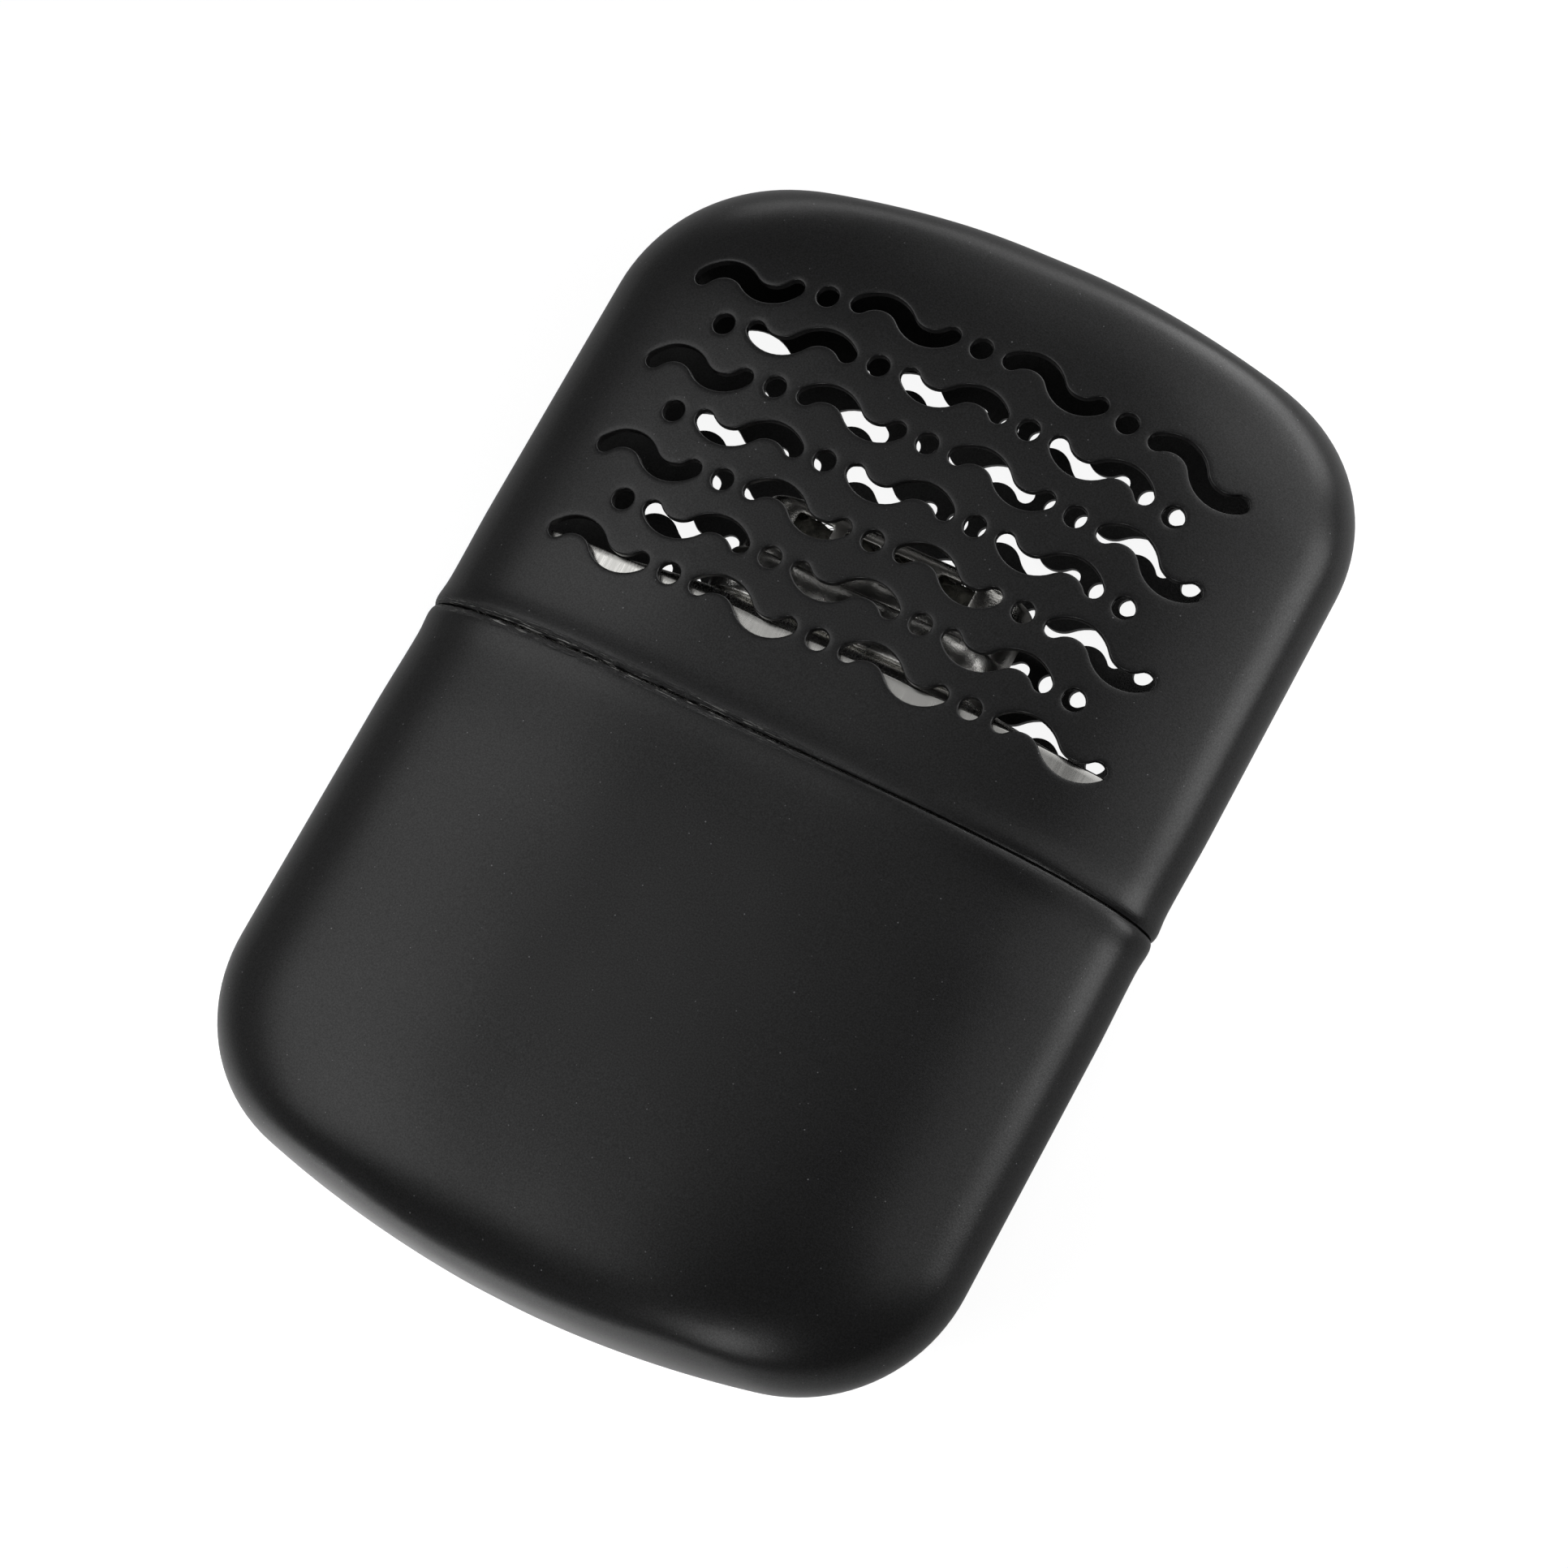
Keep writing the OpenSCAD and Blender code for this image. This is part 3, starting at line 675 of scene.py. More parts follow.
def fibre_tree(finish):
    """A coat of loose fibres on a body: bent strands lie on its surface, each its own way."""
    tree, given = geometry_tree("Fibre coat", [
        ("Geometry", "Geometry"), ("Density", "Float"), ("Length", "Float"), ("Radius", "Float"),
        ("Curl", "Float"), ("Reach", "Float"), ("Seed", "Int"), ("Low corner", "Vector"),
        ("High corner", "Vector")])
    # The strands root away from the round ends and from the hidden underside
    place = add_node(tree, "GeometryNodeInputPosition")
    across = add_node(tree, "ShaderNodeSeparateXYZ", {0: place}).outputs[0]
    across = add_node(tree, MATH, {0: across}, operation="ABSOLUTE")
    within = add_node(tree, "FunctionNodeCompare", {0: across, 1: given["Reach"]}, operation="LESS_THAN")
    normal = add_node(tree, "GeometryNodeInputNormal")
    facing = add_node(tree, "ShaderNodeSeparateXYZ", {0: normal}).outputs[1]
    seen = add_node(tree, "FunctionNodeCompare", {0: facing, 1: -0.5}, operation="GREATER_THAN")
    chosen = add_node(tree, "FunctionNodeBooleanMath", {0: within, 1: seen}, operation="AND")
    roots = add_node(tree, "GeometryNodeDistributePointsOnFaces",
                     {"Mesh": given["Geometry"], "Selection": chosen, "Density": given["Density"],
                      "Seed": given["Seed"]})
    half = add_node(tree, MATH, {0: given["Length"], 1: 0.5}, operation="MULTIPLY")
    back = add_node(tree, MATH, {0: given["Length"], 1: -0.5}, operation="MULTIPLY")
    strand = add_node(tree, "GeometryNodeCurvePrimitiveLine",
                      {"Start": add_node(tree, "ShaderNodeCombineXYZ", {0: back}),
                       "End": add_node(tree, "ShaderNodeCombineXYZ", {0: half})})
    strand = add_node(tree, "GeometryNodeResampleCurve", {"Curve": strand, "Count": STRAND_POINTS})
    spin = add_node(tree, "FunctionNodeRandomValue",
                    {"Min": (-0.12, -0.12, 0.0), "Max": (0.12, 0.12, 6.283), "Seed": given["Seed"]},
                    data_type="FLOAT_VECTOR")
    turned = add_node(tree, "FunctionNodeRotateRotation",
                      {"Rotation": roots.outputs["Rotation"], "Rotate By": spin}, rotation_space="LOCAL")
    grow = add_node(tree, "FunctionNodeRandomValue", {2: 0.5, 3: 1.3, "Seed": given["Seed"]})
    strands = add_node(tree, "GeometryNodeInstanceOnPoints",
                       {"Points": roots, "Instance": strand, "Rotation": turned, "Scale": grow})
    real = add_node(tree, "GeometryNodeRealizeInstances", {"Geometry": strands})
    # Bends of about 2 mm, and each strand in a field of its own by its index
    part = add_node(tree, "GeometryNodeInputIndex")
    own = add_node(tree, MATH, {0: part, 1: float(STRAND_POINTS)}, operation="DIVIDE")
    own = add_node(tree, MATH, {0: own}, operation="FLOOR")
    wave = add_node(tree, NOISE, {"Vector": place, "W": own, "Scale": 450.0, "Detail": 1.0},
                    noise_dimensions="4D")
    centred = add_node(tree, "ShaderNodeVectorMath", {0: wave.outputs["Color"], 1: (0.5, 0.5, 0.5)},
                       operation="SUBTRACT")
    bend = add_node(tree, "ShaderNodeVectorMath", {0: centred, "Scale": given["Curl"]},
                    operation="SCALE")
    bent = add_node(tree, "GeometryNodeSetPosition", {"Geometry": real, "Offset": bend})
    over = add_node(tree, "ShaderNodeVectorMath", {0: place, 1: given["Low corner"]},
                    operation="MAXIMUM")
    kept = add_node(tree, "ShaderNodeVectorMath", {0: over, 1: given["High corner"]},
                    operation="MINIMUM")
    bent = add_node(tree, "GeometryNodeSetPosition", {"Geometry": bent, "Position": kept})
    ring = add_node(tree, "GeometryNodeCurvePrimitiveCircle",
                    {"Resolution": 4, "Radius": given["Radius"]})
    tubes = add_node(tree, "GeometryNodeCurveToMesh",
                     {"Curve": bent, "Profile Curve": ring, "Fill Caps": True})
    joined = add_node(tree, "GeometryNodeJoinGeometry")
    tree.links.new(tubes.outputs[0], joined.inputs[0])
    tree.links.new(given["Geometry"], joined.inputs[0])
    whole = add_node(tree, "GeometryNodeRealizeInstances", {"Geometry": joined})
    coloured = add_node(tree, "GeometryNodeSetMaterial", {"Geometry": whole, "Material": finish})
    add_node(tree, "NodeGroupOutput", {"Geometry": coloured})
    return tree


def give_tree(carrier, tree, values):
    """Give an object a geometry tree, with values for its named inputs."""
    modifier = carrier.modifiers.new("tree", "NODES")
    modifier.node_group = tree
    for item in tree.interface.items_tree:
        if item.in_out == "INPUT" and item.name in values:
            modifier[item.identifier] = values[item.name]


def make_lumpy(body, lump, lump_size, octaves):
    """Press the surface of a body in by up to one lump, in dents of about this size."""
    normals = [v.normal.copy() for v in body.data.vertices]
    for v, normal in zip(body.data.vertices, normals):
        depth = noise.fractal(v.co / lump_size, 0.9, 2.2, octaves)
        v.co -= normal * lump * min(max(0.5 + 0.6 * depth, 0), 1)


def pad_body(name, box, round_r, step, lump, lump_size):
    """A closed pad that fills a box, with a round upper edge and a lumpy surface, on a net of this
    step."""
    w, t = box[1].x - box[0].x, box[1].z - box[0].z
    low, high = box[0].y, box[1].y
    steps = round((w + t) / 2 / step)
    rings = [at_height(oval_ring(w, t, steps), y) for y in np.arange(low, high - round_r, step)]
    for turn in np.linspace(0, math.pi / 2, 5):
        d = round_r * (1 - math.cos(turn))
        level = high - round_r * (1 - math.sin(turn))
        rings.append(at_height(oval_ring(w - 2 * d, t - 2 * d, steps), level))
    points, faces = np.concatenate(rings), loft(rings)
    for d, y in ((round_r, high), (0, low)):
        flat, filled = chart(oval_ring(w - 2 * d, t - 2 * d, steps), [], step)
        faces += [[i + len(points) for i in f] for f in filled]
        points = np.concatenate([points, at_height(flat, y)])
    body = plain_object(name, points, faces)
    make_lumpy(body, lump, lump_size, octaves=4)
    return body


# ---- Vents: the outlines of the pierced pattern, laid out by geometry nodes ----

def vent_tree():
    """Outlines of a field of wavy slots and round holes. Rows bow towards the end's arch, slots
    and holes take turns, and every second row is turned over."""
    tree, given = geometry_tree("Vent outlines", [
        ("Geometry", "Geometry"), ("Rows", "Int"), ("Columns", "Int"), ("Half pitch", "Float"),
        ("Row pitch", "Float"), ("First row", "Float"), ("Arch radius", "Float"),
        ("Bend radius", "Float"), ("Bend angle", "Float"), ("Slot width", "Float"),
        ("Hole diameter", "Float")])
    bend = given["Bend radius"]
    half_turn = add_node(tree, MATH, {0: given["Bend angle"], 1: 0.5}, operation="MULTIPLY")
    sine = add_node(tree, MATH, {0: half_turn}, operation="SINE")
    cosine = add_node(tree, MATH, {0: half_turn}, operation="COSINE")
    centre_x = add_node(tree, MATH, {0: bend, 1: sine}, operation="MULTIPLY")
    centre_y = add_node(tree, MATH, {0: bend, 1: cosine}, operation="MULTIPLY")
    end_x = add_node(tree, MATH, {0: centre_x, 1: 2.0}, operation="MULTIPLY")
    half_w = add_node(tree, MATH, {0: given["Slot width"], 1: 0.5}, operation="MULTIPLY")
    wide = add_node(tree, MATH, {0: bend, 1: half_w}, operation="ADD")
    narrow = add_node(tree, MATH, {0: bend, 1: half_w}, operation="SUBTRACT")
    back_turn = add_node(tree, MATH, {0: given["Bend angle"], 1: -1.0}, operation="MULTIPLY")
    quarter = math.pi / 2

    # Arcs of a slot's outline, in order: x and y of the centre with their signs, radius, the
    # quarter turns and half bends that the arc starts at, and the angle that it sweeps
    arcs = [(-1, centre_x, -1, centre_y, wide, 1, 1, back_turn, 13),
            (1, centre_x, 1, centre_y, narrow, 3, -1, given["Bend angle"], 13),
            (1, end_x, 0, centre_y, half_w, 1, 1, -math.pi, 11),
            (1, centre_x, 1, centre_y, wide, 3, 1, back_turn, 13),
            (-1, centre_x, -1, centre_y, narrow, 1, -1, given["Bend angle"], 13),
            (-1, end_x, 0, centre_y, half_w, 3, 1, -math.pi, 11)]
    parts = []
    for sign_x, x, sign_y, y, radius, quarters, bends, sweep, steps in arcs:
        turned = add_node(tree, MATH, {0: half_turn, 1: bends}, operation="MULTIPLY")
        start = add_node(tree, MATH, {0: turned, 1: quarters * quarter}, operation="ADD")
        arc = add_node(tree, "GeometryNodeCurveArc",
                       {"Resolution": steps, "Radius": radius, "Start Angle": start, "Sweep Angle": sweep})
        x = add_node(tree, MATH, {0: x, 1: sign_x}, operation="MULTIPLY")
        y = add_node(tree, MATH, {0: y, 1: sign_y}, operation="MULTIPLY")
        place = add_node(tree, "ShaderNodeCombineXYZ", {0: x, 1: y})
        parts.append(add_node(tree, "GeometryNodeTransform", {"Geometry": arc, "Translation": place}))
    joined = add_node(tree, "GeometryNodeJoinGeometry")
    for part in parts:
        tree.links.new(part.outputs[0], joined.inputs[0])
    edges = add_node(tree, "GeometryNodeCurveToMesh", {"Curve": joined})
    wave = add_node(tree, "GeometryNodeMergeByDistance", {"Geometry": edges, "Distance": 1e-6})
    hole_r = add_node(tree, MATH, {0: given["Hole diameter"], 1: 0.5}, operation="MULTIPLY")
    hole = add_node(tree, "GeometryNodeMeshCircle", {"Vertices": 28, "Radius": hole_r})

    # One point for each slot and hole, counted along the rows
    total = add_node(tree, MATH, {0: given["Rows"], 1: given["Columns"]}, operation="MULTIPLY")
    index = add_node(tree, "GeometryNodeInputIndex")
    row = add_node(tree, MATH, {0: index, 1: 0.5}, operation="ADD")
    row = add_node(tree, MATH, {0: row, 1: given["Columns"]}, operation="DIVIDE")
    row = add_node(tree, MATH, {0: row}, operation="FLOOR")
    before = add_node(tree, MATH, {0: row, 1: given["Columns"]}, operation="MULTIPLY")
    column = add_node(tree, MATH, {0: index, 1: before}, operation="SUBTRACT")
    middle = add_node(tree, MATH, {0: given["Columns"], 1: 1.0}, operation="SUBTRACT")
    middle = add_node(tree, MATH, {0: middle, 1: 0.5}, operation="MULTIPLY")
    x = add_node(tree, MATH, {0: column, 1: middle}, operation="SUBTRACT")
    x = add_node(tree, MATH, {0: x, 1: given["Half pitch"]}, operation="MULTIPLY")
    # Each row bows by its share of the arch's curve, which the last row has in full
    last = add_node(tree, MATH, {0: given["Rows"], 1: 1.0}, operation="SUBTRACT")
    share = add_node(tree, MATH, {0: row, 1: last}, operation="DIVIDE")
    arch_d = add_node(tree, MATH, {0: given["Arch radius"], 1: 2.0}, operation="MULTIPLY")
    bow = add_node(tree, MATH, {0: share, 1: arch_d}, operation="DIVIDE")
    square = add_node(tree, MATH, {0: x, 1: x}, operation="MULTIPLY")
    drop = add_node(tree, MATH, {0: bow, 1: square}, operation="MULTIPLY")
    level = add_node(tree, MATH, {0: row, 1: given["Row pitch"]}, operation="MULTIPLY")
    level = add_node(tree, MATH, {0: given["First row"], 1: level}, operation="ADD")
    y = add_node(tree, MATH, {0: level, 1: drop}, operation="SUBTRACT")
    position = add_node(tree, "ShaderNodeCombineXYZ", {0: x, 1: y})
    points = add_node(tree, "GeometryNodePoints", {"Count": total, "Position": position})
    fall = add_node(tree, MATH, {0: bow, 1: x}, operation="MULTIPLY")
    fall = add_node(tree, MATH, {0: fall, 1: 2.0}, operation="MULTIPLY")
    slope = add_node(tree, MATH, {0: fall}, operation="ARCTANGENT")
    slope = add_node(tree, MATH, {0: slope, 1: -1.0}, operation="MULTIPLY")
    turn = add_node(tree, "ShaderNodeCombineXYZ", {2: slope})
    # Every second row is turned over, and slots and holes take turns
    flip = add_node(tree, MATH, {0: row, 1: 2.0}, operation="MODULO")
    flip = add_node(tree, MATH, {0: flip, 1: 2.0}, operation="MULTIPLY")
    flip = add_node(tree, MATH, {0: 1.0, 1: flip}, operation="SUBTRACT")
    scale = add_node(tree, "ShaderNodeCombineXYZ", {0: 1.0, 1: flip, 2: 1.0})
    odd = add_node(tree, MATH, {0: row, 1: column}, operation="ADD")
    odd = add_node(tree, MATH, {0: odd, 1: 2.0}, operation="MODULO")
    is_wave = add_node(tree, "FunctionNodeCompare", {0: odd, 1: 0.5}, operation="LESS_THAN")
    is_hole = add_node(tree, "FunctionNodeCompare", {0: odd, 1: 0.5}, operation="GREATER_THAN")
    field = add_node(tree, "GeometryNodeJoinGeometry")
    for shape, chosen in ((wave, is_wave), (hole, is_hole)):
        placed = add_node(tree, "GeometryNodeInstanceOnPoints",
                          {"Points": points, "Selection": chosen, "Instance": shape,
                           "Rotation": turn, "Scale": scale})
        tree.links.new(placed.outputs[0], field.inputs[0])
    real = add_node(tree, "GeometryNodeRealizeInstances", {"Geometry": field})
    painted = add_node(tree, "GeometryNodeSetMaterial", {"Geometry": real, "Material": powder_coat()})
    add_node(tree, "NodeGroupOutput", {"Geometry": painted})
    return tree


def evaluated_mesh(tree, values):
    """The plain mesh that a geometry tree makes with these values of its named inputs."""
    carrier = bpy.data.objects.new("carrier", bpy.data.meshes.new("carrier"))
    bpy.context.scene.collection.objects.link(carrier)
    give_tree(carrier, tree, values)
    graph = bpy.context.evaluated_depsgraph_get()
    made = bpy.data.meshes.new_from_object(carrier.evaluated_get(graph))
    bpy.data.objects.remove(carrier)
    if not made.vertices:
        raise RuntimeError("The tree " + tree.name + " made nothing")
    return made


def closed_loops(mesh):
    """The vertices of each closed loop of edges of a mesh, in order."""
    beside = {}
    for edge in mesh.edges:
        a, b = edge.vertices
        beside.setdefault(a, []).append(b)
        beside.setdefault(b, []).append(a)
    loops, seen = [], set()
    for first in range(len(mesh.vertices)):
        if first in seen:
            continue
        loop, here = [first], first
        seen.add(first)
        while True:
            ahead = [v for v in beside[here] if v not in seen]
            if not ahead:
                break
            here = ahead[0]
            seen.add(here)
            loop.append(here)
        loops.append(loop)
    return loops


def vent_lips():
    """For each hole of the cap, its outline at each of LIP_STEPS, in order round the hole."""
    s = bpy.context.scene.warmer_vents
    tree = vent_tree()
    rings = []
    for step in LIP_STEPS:
        grow = 2 * step * MM
        mesh = evaluated_mesh(tree, {
            "Rows": s.rows, "Columns": s.columns, "Half pitch": s.pitch / 2, "Row pitch": s.row_pitch,
            "First row": SEAM_Y + s.first_row, "Arch radius": case().arch_r, "Bend radius": s.bend_r,
            "Bend angle": math.radians(s.bend_angle), "Slot width": s.slot_w + grow,
            "Hole diameter": s.dot_d + grow})
        rings.append(np.array([v.co[:2] for v in mesh.vertices]))
        loops = closed_loops(mesh)
    lips = []
    for loop in loops:
        p = rings[0][loop]
        area = (p[:, 0] * np.roll(p[:, 1], -1) - np.roll(p[:, 0], -1) * p[:, 1]).sum()
        order = loop if area > 0 else loop[::-1]
        lips.append(np.array([ring[order] for ring in rings]))
    return lips


# ---- Finishes ----

def material(name):
    """A new material with its shader and the socket for the object's own coordinates."""
    made = bpy.data.materials.new(name)
    made.use_nodes = True
    tree = made.node_tree
    shader = tree.nodes["Principled BSDF"]
    place = add_node(tree, "ShaderNodeTexCoord").outputs["Object"]
    return made, tree, shader, place


def powder_coat():
    """Matt black powder coat: a fine grain, soft sheen, pale grains and crinkled seam paint with painted
    glints.
    """
    if "matt_powder_coat" in bpy.data.materials:
        return bpy.data.materials["matt_powder_coat"]
    colours = bpy.context.scene.warmer_colours
    made, tree, shader, place = material("matt_powder_coat")
    # Grain of the sprayed powder, about 0.15 mm, over a broad cloudiness of 12 mm
    grain = add_node(tree, NOISE, {"Vector": place, "Scale": 7000.0, "Detail": 3.0})
    cloud = add_node(tree, NOISE, {"Vector": place, "Scale": 80.0, "Detail": 1.0})
    paler = add_node(tree, RANGE, {"Value": grain, "From Min": 0.35, "From Max": 0.7})
    ground = add_node(tree, "ShaderNodeMix", {"Factor": paler, "A": linear(colours.coat),
                                              "B": linear(colours.coat_grain)}, data_type="RGBA")
    # Pale grains up to 0.15 mm across, many of them faint, about one on each square of 2.5 mm
    cells = add_node(tree, "ShaderNodeTexVoronoi", {"Vector": place, "Scale": 1500.0})
    dice = add_node(tree, "ShaderNodeSeparateColor", {0: cells.outputs["Color"]}).outputs
    size = add_node(tree, RANGE, {"Value": dice[1], "From Min": 0, "From Max": 1, "To Min": 0.03,
                                  "To Max": 0.12})
    fleck = add_node(tree, MATH, {0: size, 1: cells.outputs["Distance"]}, operation="SUBTRACT")
    fleck = add_node(tree, RANGE, {"Value": fleck, "From Min": 0, "From Max": 0.04})
    strength = add_node(tree, RANGE, {"Value": dice[0], "From Min": 0.45, "From Max": 1.0})
    fleck = add_node(tree, MATH, {0: fleck, 1: strength}, operation="MULTIPLY")
    tone = add_node(tree, "ShaderNodeMix", {"Factor": fleck, "A": ground,
                                            "B": linear(colours.coat_fleck)}, data_type="RGBA")
    # Paint that tore when the halves came apart: crinkles along the seam, and glints painted into its colour
    # as painted highlights, where bare metal shows too
    parts = add_node(tree, "ShaderNodeSeparateXYZ", {0: place}).outputs
    aside = add_node(tree, MATH, {0: parts[1], 1: SEAM_Y}, operation="SUBTRACT")
    aside = add_node(tree, MATH, {0: aside}, operation="ABSOLUTE")
    near = add_node(tree, RANGE, {"Value": aside, "From Min": 0.8 * MM, "From Max": 0.3 * MM})
    left = add_node(tree, RANGE, {"Value": parts[0], "From Min": 8 * MM, "From Max": -4 * MM,
                                  "To Min": 0.12, "To Max": 1.0})
    torn = add_node(tree, MATH, {0: near, 1: left}, operation="MULTIPLY")
    drawn_out = add_node(tree, "ShaderNodeMapping", {"Vector": place, "Scale": (650.0, 9500.0, 650.0)})
    ridge = add_node(tree, NOISE, {"Vector": drawn_out, "Scale": 1.0, "Detail": 4.0, "Distortion": 0.8})
    # Painted highlight: thin bright strands where the torn paint glints, mixed into the colour near the seam
    painted_glint = add_node(tree, RANGE, {"Value": ridge, "From Min": 0.58, "From Max": 0.64})
    torn_twice = add_node(tree, MATH, {0: torn, 1: torn}, operation="MULTIPLY")
    painted_glint = add_node(tree, MATH, {0: painted_glint, 1: torn_twice}, operation="MULTIPLY")
    tone = add_node(tree, "ShaderNodeMix", {"Factor": painted_glint, "A": tone,
                                            "B": linear(colours.bare_edge_and_glint)}, data_type="RGBA")
    tree.links.new(tone.outputs["Result"], shader.inputs["Base Color"])
    rough = add_node(tree, RANGE, {"Value": cloud, "From Min": 0.3, "From Max": 0.7,
                                   "To Min": 0.28, "To Max": 0.32})
    tree.links.new(rough.outputs[0], shader.inputs["Roughness"])
    sheen = add_node(tree, RANGE, {"Value": grain, "From Min": 0.3, "From Max": 0.7,
                                   "To Min": 0.41, "To Max": 0.59})
    tree.links.new(sheen.outputs[0], shader.inputs["Specular IOR Level"])
    # The pressed sheet is never quite even: swells of about 12 mm
    swell = add_node(tree, BUMP, {"Height": cloud, "Strength": 1.0, "Distance": 0.12 * MM})
    fine = add_node(tree, BUMP, {"Height": grain, "Strength": 0.6, "Distance": 0.01 * MM,
                                 "Normal": swell})
    relief = add_node(tree, MATH, {0: ridge, 1: 0.5}, operation="SUBTRACT")
    relief = add_node(tree, MATH, {0: relief, 1: torn}, operation="MULTIPLY")
    crinkle = add_node(tree, BUMP, {"Height": relief, "Strength": 1.0, "Distance": 0.2 * MM,
                                    "Normal": fine})
    tree.links.new(crinkle.outputs[0], shader.inputs["Normal"])
    return made


def nickel():
    """Bright nickel plate: soft smears of polish and fine scuffs along the way the cap slides."""
    if "bright_nickel" in bpy.data.materials:
        return bpy.data.materials["bright_nickel"]
    made, tree, shader, place = material("bright_nickel")
    shader.inputs["Metallic"].default_value = 1.0
    shader.inputs["Base Color"].default_value = linear(bpy.context.scene.warmer_colours.nickel)
    smear = add_node(tree, NOISE, {"Vector": place, "Scale": 160.0, "Detail": 3.0})
    # Scuffs 0.1 mm wide and about 5 mm long, drawn coarser than the real ones
    long_way = add_node(tree, "ShaderNodeMapping", {"Vector": place, "Scale": (6000.0, 200.0, 6000.0)})
    scuff = add_node(tree, NOISE, {"Vector": long_way, "Scale": 1.0, "Detail": 2.0})
    wear = add_node(tree, MATH, {0: smear, 1: scuff}, operation="MULTIPLY")
    rough = add_node(tree, RANGE, {"Value": wear, "From Min": 0.15, "From Max": 0.4, "To Min": 0.2,
                                   "To Max": 0.36})
    tree.links.new(rough.outputs[0], shader.inputs["Roughness"])
    bump = add_node(tree, BUMP, {"Height": scuff, "Strength": 0.12, "Distance": 0.01 * MM})
    tree.links.new(bump.outputs[0], shader.inputs["Normal"])
    return made


def heated_steel():
    """Stainless sheet of the burner, tinted straw where the catalyst heats it."""
    if "heated_steel" in bpy.data.materials:
        return bpy.data.materials["heated_steel"]
    colours = bpy.context.scene.warmer_colours
    made, tree, shader, place = material("heated_steel")
    shader.inputs["Metallic"].default_value = 1.0
    parts = add_node(tree, "ShaderNodeSeparateXYZ", {0: place}).outputs
    # The tint's edge drifts by up to 3 mm
    cloud = add_node(tree, NOISE, {"Vector": place, "Scale": 260.0, "Detail": 3.0})
    drift = add_node(tree, MATH, {0: cloud, 1: 3 * MM}, operation="MULTIPLY")
    level = add_node(tree, MATH, {0: parts[1], 1: drift}, operation="ADD")
    heat = add_node(tree, RANGE, {"Value": level, "From Min": SKIRT_BOX[0].y,
                                  "From Max": CAGE_BOX[1].y + 3 * MM, "To Min": 0.0, "To Max": 0.5})
    tone = add_node(tree, "ShaderNodeMix", {"Factor": heat, "A": linear(colours.steel),
                                            "B": linear(colours.heat_tint)}, data_type="RGBA")
    tree.links.new(tone.outputs["Result"], shader.inputs["Base Color"])
    rough = add_node(tree, RANGE, {"Value": cloud, "From Min": 0.3, "From Max": 0.7, "To Min": 0.2,
                                   "To Max": 0.34})
    tree.links.new(rough.outputs[0], shader.inputs["Roughness"])
    # Rolled grain of about 0.2 mm
    grain = add_node(tree, NOISE, {"Vector": place, "Scale": 5000.0, "Detail": 3.0})
    bump = add_node(tree, BUMP, {"Height": grain, "Strength": 0.9, "Distance": 0.02 * MM})
    tree.links.new(bump.outputs[0], shader.inputs["Normal"])
    return made


def dark_gauze():
    """Pierced steel under the catalyst, dulled by the heat."""
    colours = bpy.context.scene.warmer_colours
    made, tree, shader, place = material("dulled_gauze_steel")
    shader.inputs["Metallic"].default_value = 1.0
    # Dull clouds of about 2 mm
    cloud = add_node(tree, NOISE, {"Vector": place, "Scale": 500.0, "Detail": 3.0})
    tone = add_node(tree, "ShaderNodeMix", {"Factor": cloud, "A": linear(colours.gauze_dull),
                                            "B": linear(colours.gauze)}, data_type="RGBA")
    tree.links.new(tone.outputs["Result"], shader.inputs["Base Color"])
    shader.inputs["Roughness"].default_value = 0.42
    return made


def fibre(name, light, dark, grain_mm):
    """Matt fibre, such as glass wool, felt or cotton, mottled at this grain."""
    made, tree, shader, place = material(name)
    mottle = add_node(tree, NOISE, {"Vector": place, "Scale": 1 / (grain_mm * MM), "Detail": 4.0})
    share = add_node(tree, RANGE, {"Value": mottle, "From Min": 0.3, "From Max": 0.7})
    tone = add_node(tree, "ShaderNodeMix", {"Factor": share, "A": linear(dark), "B": linear(light)},
                    data_type="RGBA")
    tree.links.new(tone.outputs["Result"], shader.inputs["Base Color"])
    shader.inputs["Roughness"].default_value = 0.9
    bump = add_node(tree, BUMP, {"Height": mottle, "Strength": 0.5, "Distance": 0.1 * MM})
    tree.links.new(bump.outputs[0], shader.inputs["Normal"])
    return made


# ---- Pieces ----

class WARMER_OT_cap(bpy.types.Operator):
    """Make the pierced cap with its painted lips"""
    bl_idname = "warmer.cap"
    bl_label = "Cap"

    def execute(self, context):
        points, faces = drawn_half(1, CAP_BOX[0].y, vent_lips())
        cap = mesh_piece("cap", points, faces, powder_coat())
        dress(cap, "cap", "cap_shell")
        return {"FINISHED"}


class WARMER_OT_tank(bpy.types.Operator):
    """Make the drawn tank"""
    bl_idname = "warmer.tank"
    bl_label = "Tank"

    def execute(self, context):
        points, faces = drawn_half(-1, TANK_BOX[1].y, [])
        tank = mesh_piece("tank", points, faces, powder_coat())
        dress(tank, "tank", "tank_shell")
        return {"FINISHED"}


class WARMER_OT_collar(bpy.types.Operator):
    """Make the plated collar that the cap slides on"""
    bl_idname = "warmer.collar"
    bl_label = "Collar"

    def execute(self, context):
        s = inner()
        low, high = COLLAR_BOX[0].y, COLLAR_BOX[1].y
        inset = HALF_W - COLLAR_BOX[1].x
        rings = [at_height(section_ring(inset, 90), y) for y in np.linspace(low, high - 3 * s.lip_r, 10)]
        rings.append(at_height(section_ring(inset, 90), high))
        collar = sheet_piece("collar", np.concatenate(rings), loft(rings), s.plated_sheet, s.lip_r, nickel())
        dress(collar, "tank", "tank_collar")
        return {"FINISHED"}


